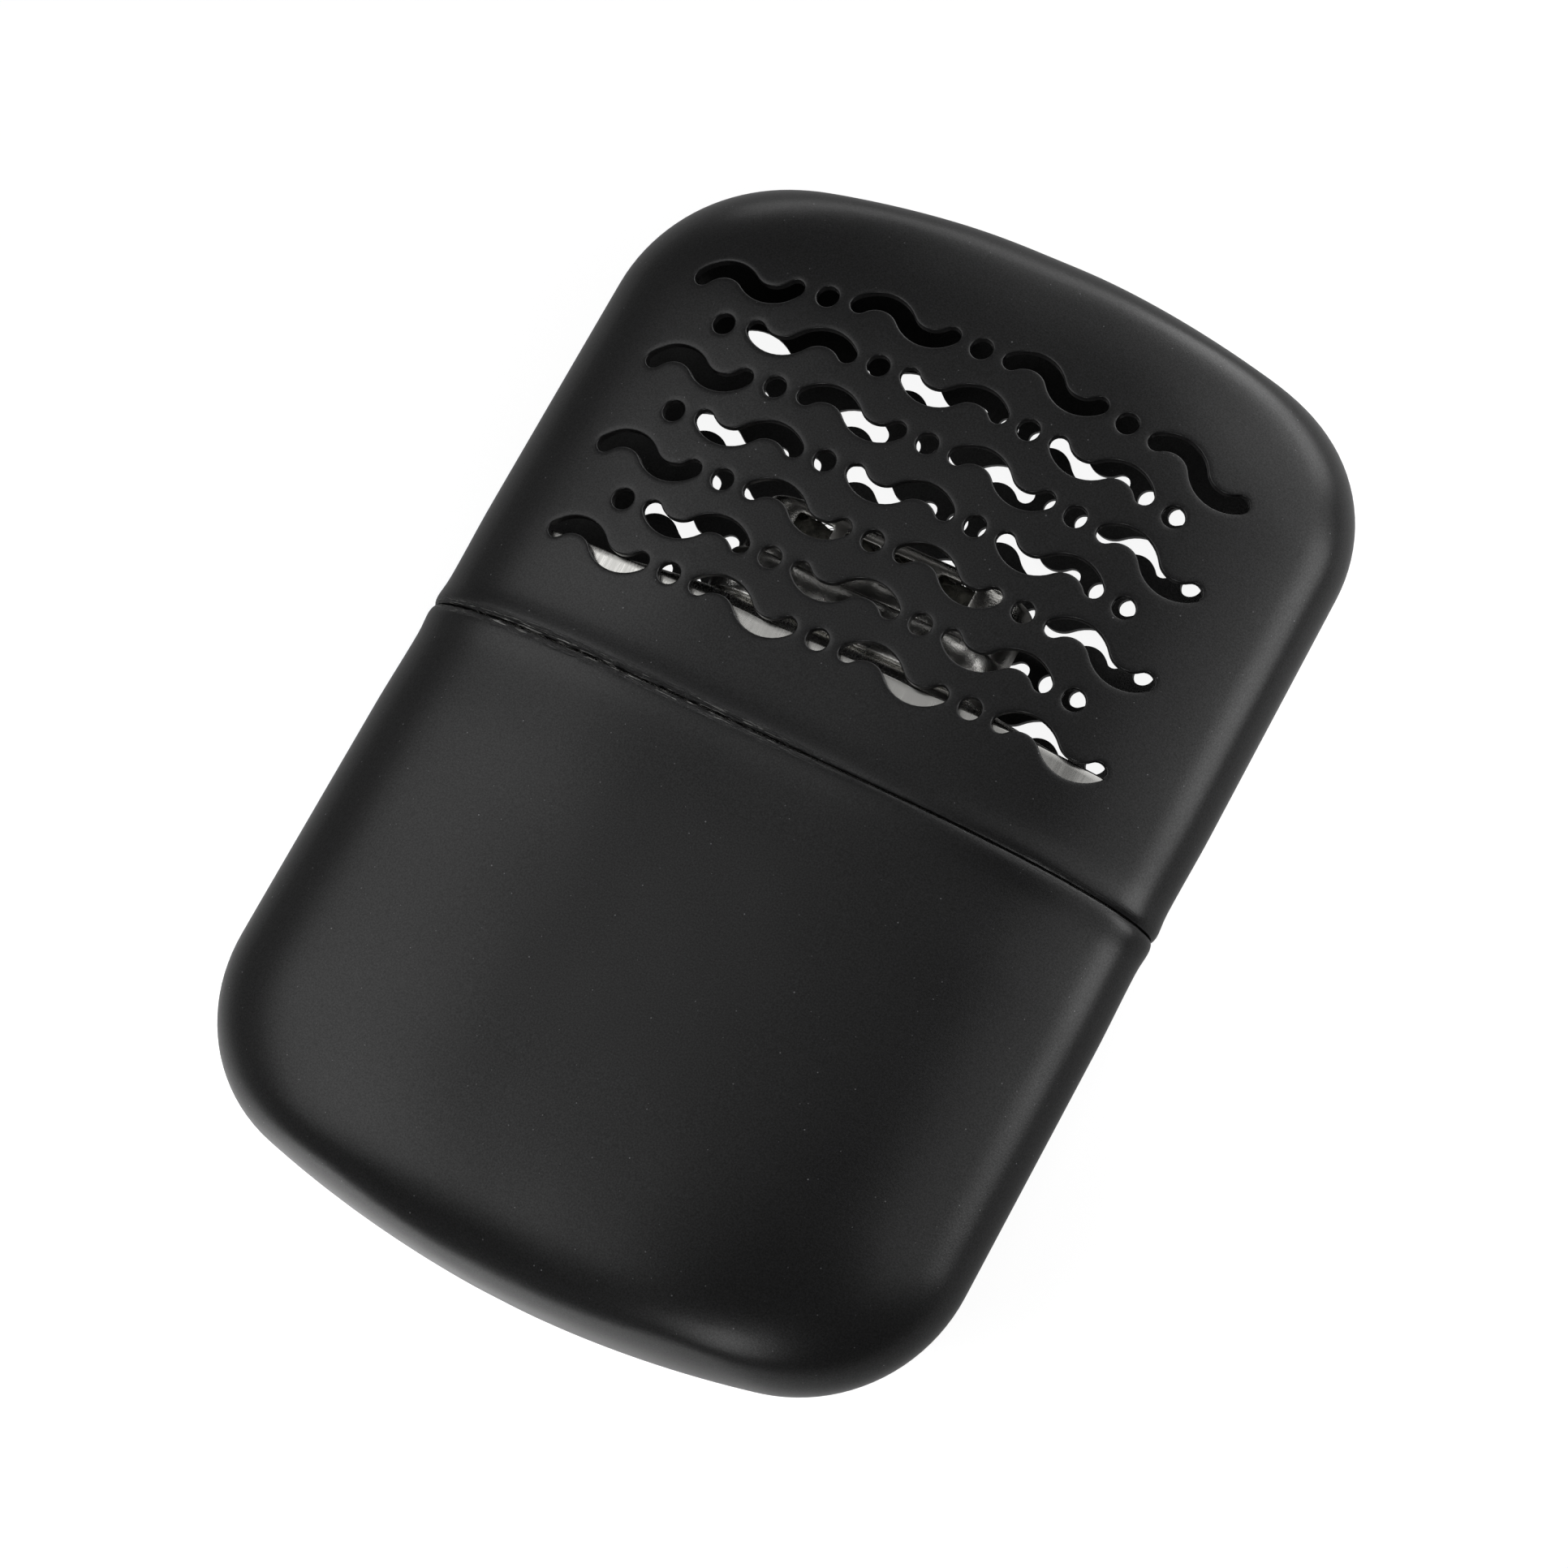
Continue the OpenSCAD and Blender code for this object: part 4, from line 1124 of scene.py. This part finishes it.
class WARMER_OT_plate(bpy.types.Operator):
    """Make the domed plate that closes the tank round the neck"""
    bl_idname = "warmer.plate"
    bl_label = "Top plate"

    def execute(self, context):
        s = inner()
        steps, turn_in = 90, 0.5 * MM
        rim = section_ring(HALF_W - PLATE_BOX[1].x + s.plated_sheet, steps)
        foot = oval_ring(NECK_BOX[1].x - NECK_BOX[0].x, NECK_BOX[1].z - NECK_BOX[0].z, steps)
        across = foot - rim
        reach = np.hypot(*across.T)
        low = PLATE_BOX[1].y - s.dome_rise
        rows = [(0, turn_in * k / 4) for k in range(5)] + [(k / 15, None) for k in range(1, 15)]
        rows += [(1, -turn_in * k / 4) for k in range(4, -1, -1)]
        rings = []
        for end, run in rows:
            from_rim = reach * end + run if run is not None else turn_in + (reach - 2 * turn_in) * end
            share = from_rim / reach
            y = low + s.dome_rise * np.sin(share * math.pi / 2)
            y += s.plate_flange * np.clip(1 - from_rim / turn_in, 0, 1) ** 2
            y += s.solder * np.clip(1 - (reach - from_rim) / turn_in, 0, 1) ** 2
            rings.append(at_height(rim + across * share[:, None], y))
        plate = sheet_piece("top_plate", np.concatenate(rings), loft(rings), s.plated_sheet, s.edge_r,
                            nickel())
        dress(plate, "tank", "tank_top")
        return {"FINISHED"}


class WARMER_OT_neck(bpy.types.Operator):
    """Make the filler neck with its rounded lip"""
    bl_idname = "warmer.neck"
    bl_label = "Filler neck"

    def execute(self, context):
        s = inner()
        w, t = NECK_BOX[1].x - NECK_BOX[0].x, NECK_BOX[1].z - NECK_BOX[0].z
        rings = [at_height(oval_ring(w, t, 40), y) for y in np.linspace(NECK_BOX[0].y, NECK_BOX[1].y, 8)]
        neck = sheet_piece("neck", np.concatenate(rings), loft(rings), s.plated_sheet, s.lip_r, nickel())
        dress(neck, "tank", "filler_neck")
        return {"FINISHED"}


class WARMER_OT_felt(bpy.types.Operator):
    """Make the felt in the filler's mouth"""
    bl_idname = "warmer.felt"
    bl_label = "Mouth felt"

    def execute(self, context):
        colours = context.scene.warmer_colours
        finish = fibre("pressed_felt", colours.felt, colours.felt_shade, 0.5)
        low, high = FELT_BOX
        body = pad_body("felt_body", FELT_BOX, round_r=0.6 * MM, step=0.4 * MM, lump=0.25 * MM,
                        lump_size=1.2 * MM)
        give_tree(body, fibre_tree(finish), {
            "Density": 4e6, "Length": 1.5 * MM, "Radius": 0.02 * MM, "Curl": 1.0 * MM,
            "Reach": 10.5 * MM, "Seed": 4, "Low corner": low, "High corner": high})
        felt = settled(body, "felt", finish, 70)
        dress(felt, "tank", "mouth_felt")
        return {"FINISHED"}


class WARMER_OT_wadding(bpy.types.Operator):
    """Make the cotton wadding that fills the tank"""
    bl_idname = "warmer.wadding"
    bl_label = "Fuel wadding"

    def execute(self, context):
        s = case()
        colours = context.scene.warmer_colours
        finish = fibre("cotton_wadding", colours.cotton, colours.cotton_shade, 2.0)
        inset = TANK_BOX[1].x - WADDING_BOX[1].x
        throat = inset + inner().plated_sheet + s.waist
        shoulder = COLLAR_BOX[0].y - 0.3 * MM
        depth = -WADDING_BOX[0].y
        end = np.sin(np.linspace(0, math.pi / 2, 40)) * (depth - s.land_len / 2) + s.land_len / 2
        stations = [(-u, inset) for u in end[::-1]]
        stations += [(y, inset) for y in np.linspace(-s.land_len / 2, shoulder, 12)[1:]]
        stations += [(y, throat) for y in np.linspace(shoulder, WADDING_BOX[1].y, 10)]
        rings = []
        for y, drawn in stations:
            u = np.full(1, max(-y, 0) * HALF_LEN / (depth + 0.2 * MM))
            across, thick = outline_half_width(u)[0] - drawn, crown_half_thickness(u)[0] - drawn
            ring = section_ring(0, 40) / [HALF_W, HALF_T] * [max(across, 0), max(thick, 0)]
            rings.append(at_height(ring, y))
        points, faces = np.concatenate(rings), loft(rings)
        count = len(rings[0])
        faces += [list(range(count)), list(range(len(points) - count, len(points)))]
        body = plain_object("wadding_body", points, faces)
        make_lumpy(body, lump=0.5 * MM, lump_size=4 * MM, octaves=3)
        wadding = settled(body, "wadding", finish, 70)
        dress(wadding, "tank", "fuel_wadding")
        return {"FINISHED"}


def oval_chart_place(w, t):
    """How a chart of an oval wall lies in space: along the wall from its right end, up, inset."""
    arc, run = math.pi / 4 * t, w - t

    def place(along, y, drawn):
        s = np.mod(along, 2 * (2 * arc + run))
        half = s < 2 * arc + run
        s = np.where(half, s, s - (2 * arc + run))
        turn = np.where(s < arc, s, np.where(s < arc + run, arc, s - run)) * 2 / t
        x = np.where(s < arc, run / 2, np.where(s < arc + run, run / 2 - (s - arc), -run / 2))
        x = x + (t / 2 - drawn) * np.cos(turn)
        z = (t / 2 - drawn) * np.sin(turn)
        sign = np.where(half, 1, -1)
        return np.stack([x * sign, np.broadcast_to(y, x.shape), MID_Z + z * sign], 1)

    return place, arc, run


class WARMER_OT_skirt(bpy.types.Operator):
    """Make the burner's skirt, with its deck, window and tab slots"""
    bl_idname = "warmer.skirt"
    bl_label = "Burner skirt"

    def execute(self, context):
        s = inner()
        w, t = SKIRT_BOX[1].x - SKIRT_BOX[0].x, SKIRT_BOX[1].z - SKIRT_BOX[0].z
        low, high, r = SKIRT_BOX[0].y, SKIRT_BOX[1].y, s.shoulder
        cage_w, cage_t = CAGE_BOX[1].x - CAGE_BOX[0].x, CAGE_BOX[1].z - CAGE_BOX[0].z
        rings = []
        for share in np.linspace(1, 0, 6):
            d = s.hem * share ** 2
            level = low + (high - s.shoulder_len - low) * (1 - share)
            rings.append(at_height(oval_ring(w - 2 * d, t - 2 * d, 40), level))
        for turn in np.linspace(0, math.pi / 2, 13)[1:]:
            d = r * (1 - math.cos(turn))
            level = high - s.shoulder_len * (1 - math.sin(turn))
            rings.append(at_height(oval_ring(w - 2 * d, t - 2 * d, 40), level))
        holes = [oval_ring(cage_w - 2 * s.deck_ledge, cage_t - 2 * s.deck_ledge, 30)]
        for side in (-1, 1):
            for face in (-1, 1):
                slot_x, slot_y = side * (cage_w / 2 - s.tab_from_end), face * (cage_t - s.burner_sheet) / 2
                holes.append(rounded_window(slot_x, slot_y, s.tab_w + 0.2 * MM, s.burner_sheet + 0.2 * MM,
                                            0.1 * MM, 3))
        flat, filled = chart(oval_ring(w - 2 * r, t - 2 * r, 40), holes, 0.7 * MM)
        points, faces = np.concatenate(rings), loft(rings)
        faces += [[i + len(points) for i in f] for f in filled]
        points = np.concatenate([points, at_height(flat, high)])
        skirt = sheet_piece("skirt", points, faces, s.burner_sheet, s.edge_r, heated_steel())
        dress(skirt, "burner", "burner_skirt")
        return {"FINISHED"}


class WARMER_OT_gauze(bpy.types.Operator):
    """Make the pierced gauze under the catalyst"""
    bl_idname = "warmer.gauze"
    bl_label = "Burner gauze"

    def execute(self, context):
        s = inner()
        w, t = GAUZE_BOX[1].x - GAUZE_BOX[0].x, GAUZE_BOX[1].z - GAUZE_BOX[0].z
        open_w = CAGE_BOX[1].x - CAGE_BOX[0].x - 2 * s.deck_ledge
        open_t = CAGE_BOX[1].z - CAGE_BOX[0].z - 2 * s.deck_ledge
        pitch, step = (open_w - s.gauze_hole_d) / s.gauze_holes, open_t / (s.gauze_rows + 0.5)
        turn = np.linspace(0, 2 * math.pi, 15)[:-1]
        disc = np.stack([np.cos(turn), np.sin(turn)], 1) * s.gauze_hole_d / 2
        holes = [disc + [(i - (s.gauze_holes - 1) / 2) * pitch, (row - (s.gauze_rows - 1) / 2) * step]
                 for i in range(s.gauze_holes) for row in range(s.gauze_rows)]
        flat, filled = chart(oval_ring(w, t, 24), holes, 0.8 * MM)
        thickness = GAUZE_BOX[1].y - GAUZE_BOX[0].y
        points, faces = at_height(flat, GAUZE_BOX[1].y), filled
        gauze = sheet_piece("gauze", points, faces, thickness, 0.05 * MM, dark_gauze())
        dress(gauze, "burner", "burner_gauze")
        return {"FINISHED"}


class WARMER_OT_catalyst(bpy.types.Operator):
    """Make the catalyst mat, a wrinkled wad of glass fibre"""
    bl_idname = "warmer.catalyst"
    bl_label = "Catalyst mat"

    def execute(self, context):
        colours = context.scene.warmer_colours
        finish = fibre("catalyst_glass_fibre", colours.fibre_pale, colours.fibre, 0.7)
        low, high = MAT_BOX
        body = pad_body("mat_body", MAT_BOX, round_r=1.0 * MM, step=0.3 * MM, lump=0.8 * MM,
                        lump_size=1.7 * MM)
        room = 0.15 * MM
        give_tree(body, fibre_tree(finish), {
            "Density": 2.8e6, "Length": 3.4 * MM, "Radius": 0.035 * MM, "Curl": 2.2 * MM,
            "Reach": 9.5 * MM, "Seed": 11, "Low corner": low - Vector((room, 0, room)),
            "High corner": high + Vector((room, room, room))})
        mat = settled(body, "catalyst", finish, 70)
        dress(mat, "burner", "catalyst_mat")
        return {"FINISHED"}


class WARMER_OT_cage(bpy.types.Operator):
    """Make the cage over the catalyst, with its windows and tabs"""
    bl_idname = "warmer.cage"
    bl_label = "Burner cage"

    def execute(self, context):
        s = inner()
        w, t = CAGE_BOX[1].x - CAGE_BOX[0].x, CAGE_BOX[1].z - CAGE_BOX[0].z
        deck, high, r = SKIRT_BOX[1].y, CAGE_BOX[1].y, s.cage_fillet
        place, arc, run = oval_chart_place(w, t)
        around = 2 * (2 * arc + run)
        steps = 160
        along = np.linspace(0, around, steps + 1)
        pitch = (run + s.cage_bar) / s.cage_windows
        middles = (np.arange(s.cage_windows) - (s.cage_windows - 1) / 2) * pitch
        open_w, bottom, top = pitch - s.cage_bar, deck + s.cage_sill, high - s.cage_brow

        # The tabs stand on the straight stretches of the wall's lower edge
        tabs = []
        for first in (arc, 2 * arc + run + arc):
            for middle in (s.tab_from_end - t / 2, run - (s.tab_from_end - t / 2)):
                start = first + min(max(middle - s.tab_w / 2, 0), run - s.tab_w)
                tabs.append((start, start + s.tab_w))
        lower = [(a, deck) for a in along
                 if all(a < p - 2 * s.edge_r or a > q + 2 * s.edge_r for p, q in tabs)]
        for p, q in tabs:
            lower += [(p, deck), (p + 1e-9, CAGE_BOX[0].y), (q - 1e-9, CAGE_BOX[0].y), (q, deck)]
        lower = np.array(sorted(lower))
        rows = np.linspace(deck, high - r, 9)
        upper = np.stack([along[::-1], np.full(steps + 1, high - r)], 1)
        right = np.stack([np.full(7, around), rows[1:-1]], 1)
        left = np.stack([np.zeros(7), rows[-2:0:-1]], 1)
        border = np.concatenate([lower, right, upper, left])
        holes = []
        for middle in middles:
            for centre in (arc + run / 2 - middle, around / 2 + arc + run / 2 + middle):
                holes.append(rounded_window(centre, (bottom + top) / 2, open_w, top - bottom, s.window_r))
        wall, filled = chart(border, holes, 0.6 * MM)
        points = place(wall[:, 0], wall[:, 1], 0)
        faces = [list(f) for f in filled]
        rings = []
        for turn in np.linspace(0, math.pi / 2, 7):
            rings.append(place(along[:-1], high - r * (1 - math.sin(turn)), r * (1 - math.cos(turn))))
        faces += loft(rings, len(points))
        points = np.concatenate([points] + rings)
        edge = rings[-1][:, [0, 2]] - [0, MID_Z]
        open_t = t - 2 * s.burner_sheet - 2 * s.cage_edge
        openings = [rounded_window(m, 0, open_w, open_t, s.window_r) for m in middles]
        lid, filled = chart(edge, openings, 0.7 * MM)
        faces += [[i + len(points) for i in f] for f in filled]
        points = np.concatenate([points, at_height(lid, high)])
        cage = sheet_piece("cage", points, faces, s.burner_sheet, s.edge_r, heated_steel())
        dress(cage, "burner", "burner_cage")
        return {"FINISHED"}


# Softboxes by name: azimuth, elevation, half width and half height in degrees, and radiance
SOFTBOXES = {
    "left_softbox": (-167, 50, 26, 19, 1.15),
    "left_low": (-151, 19, 42, 14, 0.1),
    "right_wall": (41, 38, 34, 31, 0.53),
    "right_key": (22, 18, 13, 11, 2.44),
    "back_low": (78, 10, 23, 11, 2.61),
    "back_mid": (68, 37, 35, 16, 0.48),
    "strip_left": (-80, 29, 4, 13, 3.16),
    "strip_right": (-73, 34, 4, 13, 1.01),
    "strip_top": (-84, 40, 4, 8, 1.07),
    "overhead": (154, 74, 42, 13, 0.18),
    "back_left": (109, 6, 28, 7, 1.43),
}
# Small lamps that light the floor alone: place, width and height in millimetres, and radiance
FLOOR_LAMPS = {
    "floor_front": (-22, -85, 35, 60, 40, 28.0),
    "floor_side": (58, 52, 40, 50, 50, 6.5),
}


# Half the side of the floor in metres, and the world's light on what the lamps leave dark
FLOOR_REACH = 4.0
ROOM_LIGHT = 0.02


def soft_lamp(name, w, h, radiance):
    """An area light of this size, in metres, whose face has this radiance."""
    lamp = bpy.data.lights.new(name, "AREA")
    lamp.shape = "RECTANGLE"
    lamp.size, lamp.size_y = w, h
    lamp.energy = math.pi * w * h * radiance
    holder = bpy.data.objects.new(name, lamp)
    holder.visible_camera = False
    bpy.context.scene.collection.objects.link(holder)
    return holder


def share_seen(tree, in_gloss):
    """How strongly a ray shows the white background: wholly to the camera, and this share of it in
    metal, gloss and glass, because the photo's studio is darker than its white floor."""
    rays = add_node(tree, "ShaderNodeLightPath").outputs
    mirrored = add_node(tree, MATH, {0: rays["Is Glossy Ray"], 1: rays["Is Transmission Ray"]},
                        operation="MAXIMUM")
    mirrored = add_node(tree, MATH, {0: mirrored, 1: in_gloss}, operation="MULTIPLY")
    return add_node(tree, MATH, {0: rays["Is Camera Ray"], 1: mirrored}, operation="MAXIMUM")


class WARMER_OT_stage(bpy.types.Operator):
    """Set the camera, the lights and the pale floor"""
    bl_idname = "warmer.stage"
    bl_label = "Stage"

    def execute(self, context):
        scene = context.scene
        s = scene.warmer_stage
        camera = bpy.data.objects.new("camera", bpy.data.cameras.new("camera"))
        camera.data.lens = s.focal / MM
        camera.data.sensor_width = 36
        camera.data.clip_start = 0.01
        # Axes of the picture in the object's own, as solved from the photo
        across = Vector((0.86140, 0.47457, -0.18105))
        down = Vector((0.39891, -0.85272, -0.33726))
        ahead = Vector((-0.31444, 0.21829, -0.92384))
        turn = Matrix((across, -down, -ahead)).transposed()
        camera.matrix_world = Matrix.Translation((s.camera_x, s.camera_y, s.camera_z)) @ turn.to_4x4()
        scene.collection.objects.link(camera)
        scene.camera = camera

        floor_mesh = bpy.data.meshes.new("floor")
        reach = FLOOR_REACH
        corners = [(-reach, -reach, 0), (reach, -reach, 0), (reach, reach, 0), (-reach, reach, 0)]
        floor_mesh.from_pydata(corners, [], [(0, 1, 2, 3)])
        floor = bpy.data.objects.new("floor", floor_mesh)
        scene.collection.objects.link(floor)
        made = bpy.data.materials.new("pale_floor")
        made.use_nodes = True
        tree = made.node_tree
        tree.nodes.remove(tree.nodes["Principled BSDF"])
        matt = add_node(tree, "ShaderNodeBsdfDiffuse", {"Color": linear(scene.warmer_colours.floor)})
        white = add_node(tree, "ShaderNodeEmission", {"Color": linear(scene.warmer_colours.floor_white),
                                                      "Strength": share_seen(tree, s.floor_in_gloss)})
        both = add_node(tree, "ShaderNodeAddShader", {0: matt, 1: white})
        tree.links.new(both.outputs[0], tree.nodes["Material Output"].inputs["Surface"])
        floor_mesh.materials.append(made)

        world = bpy.data.worlds.new("studio")
        scene.world = world
        world.use_nodes = True
        tree = world.node_tree
        ground = tree.nodes["Background"]
        ground.inputs["Strength"].default_value = ROOM_LIGHT
        ground.inputs["Color"].default_value = (1, 1, 1, 1)
        white = add_node(tree, "ShaderNodeBackground", {"Color": (1, 1, 1, 1), "Strength": 1.0})
        both = add_node(tree, "ShaderNodeMixShader", {0: share_seen(tree, s.room_in_gloss),
                                                      1: ground, 2: white})
        tree.links.new(both.outputs[0], tree.nodes["World Output"].inputs["Surface"])

        for name, (azimuth, elevation, half_w, half_h, radiance) in SOFTBOXES.items():
            aim = Vector((math.cos(math.radians(azimuth)), math.sin(math.radians(azimuth)), 0))
            aim *= math.cos(math.radians(elevation))
            aim.z = math.sin(math.radians(elevation))
            w, h = (2 * s.softbox_distance * math.tan(math.radians(half)) for half in (half_w, half_h))
            lamp = soft_lamp(name, w, h, radiance)
            lamp.location = aim * s.softbox_distance
            lamp.rotation_euler = (-aim).to_track_quat("-Z", "Y").to_euler()
        only_floor = bpy.data.collections.new("only_floor")
        only_floor.objects.link(floor)
        for name, (x, y, z, w, h, radiance) in FLOOR_LAMPS.items():
            lamp = soft_lamp(name, w * MM, h * MM, radiance)
            lamp.location = Vector((x, y, z)) * MM
            lamp.light_linking.receiver_collection = only_floor
        scene.view_settings.view_transform = "Standard"
        return {"FINISHED"}


class WARMER_PT_panel(bpy.types.Panel):
    """Steps that dress the hand warmer"""
    bl_idname = "WARMER_PT_panel"
    bl_label = "Hand warmer"
    bl_space_type = "VIEW_3D"
    bl_region_type = "UI"
    bl_category = "Hand warmer"

    def draw(self, context):
        for operator in OPERATORS:
            self.layout.operator(operator.bl_idname)


GROUPS = {"warmer_case": CaseSizes, "warmer_vents": VentSizes, "warmer_inner": InnerSizes,
          "warmer_colours": FinishColours, "warmer_stage": StageSizes}
OPERATORS = [WARMER_OT_stage, WARMER_OT_tank, WARMER_OT_cap, WARMER_OT_collar, WARMER_OT_plate,
             WARMER_OT_neck, WARMER_OT_felt, WARMER_OT_wadding, WARMER_OT_skirt, WARMER_OT_gauze,
             WARMER_OT_catalyst, WARMER_OT_cage]


def register():
    for made in [*GROUPS.values(), *OPERATORS, WARMER_PT_panel]:
        bpy.utils.register_class(made)
    for name, group in GROUPS.items():
        setattr(bpy.types.Scene, name, bpy.props.PointerProperty(type=group))


def unregister():
    for name in GROUPS:
        delattr(bpy.types.Scene, name)
    for made in reversed([*GROUPS.values(), *OPERATORS, WARMER_PT_panel]):
        bpy.utils.unregister_class(made)


def main():
    register()
    for operator in OPERATORS:
        group, name = operator.bl_idname.split(".")
        getattr(getattr(bpy.ops, group), name)()


if __name__ == "__main__":
    main()
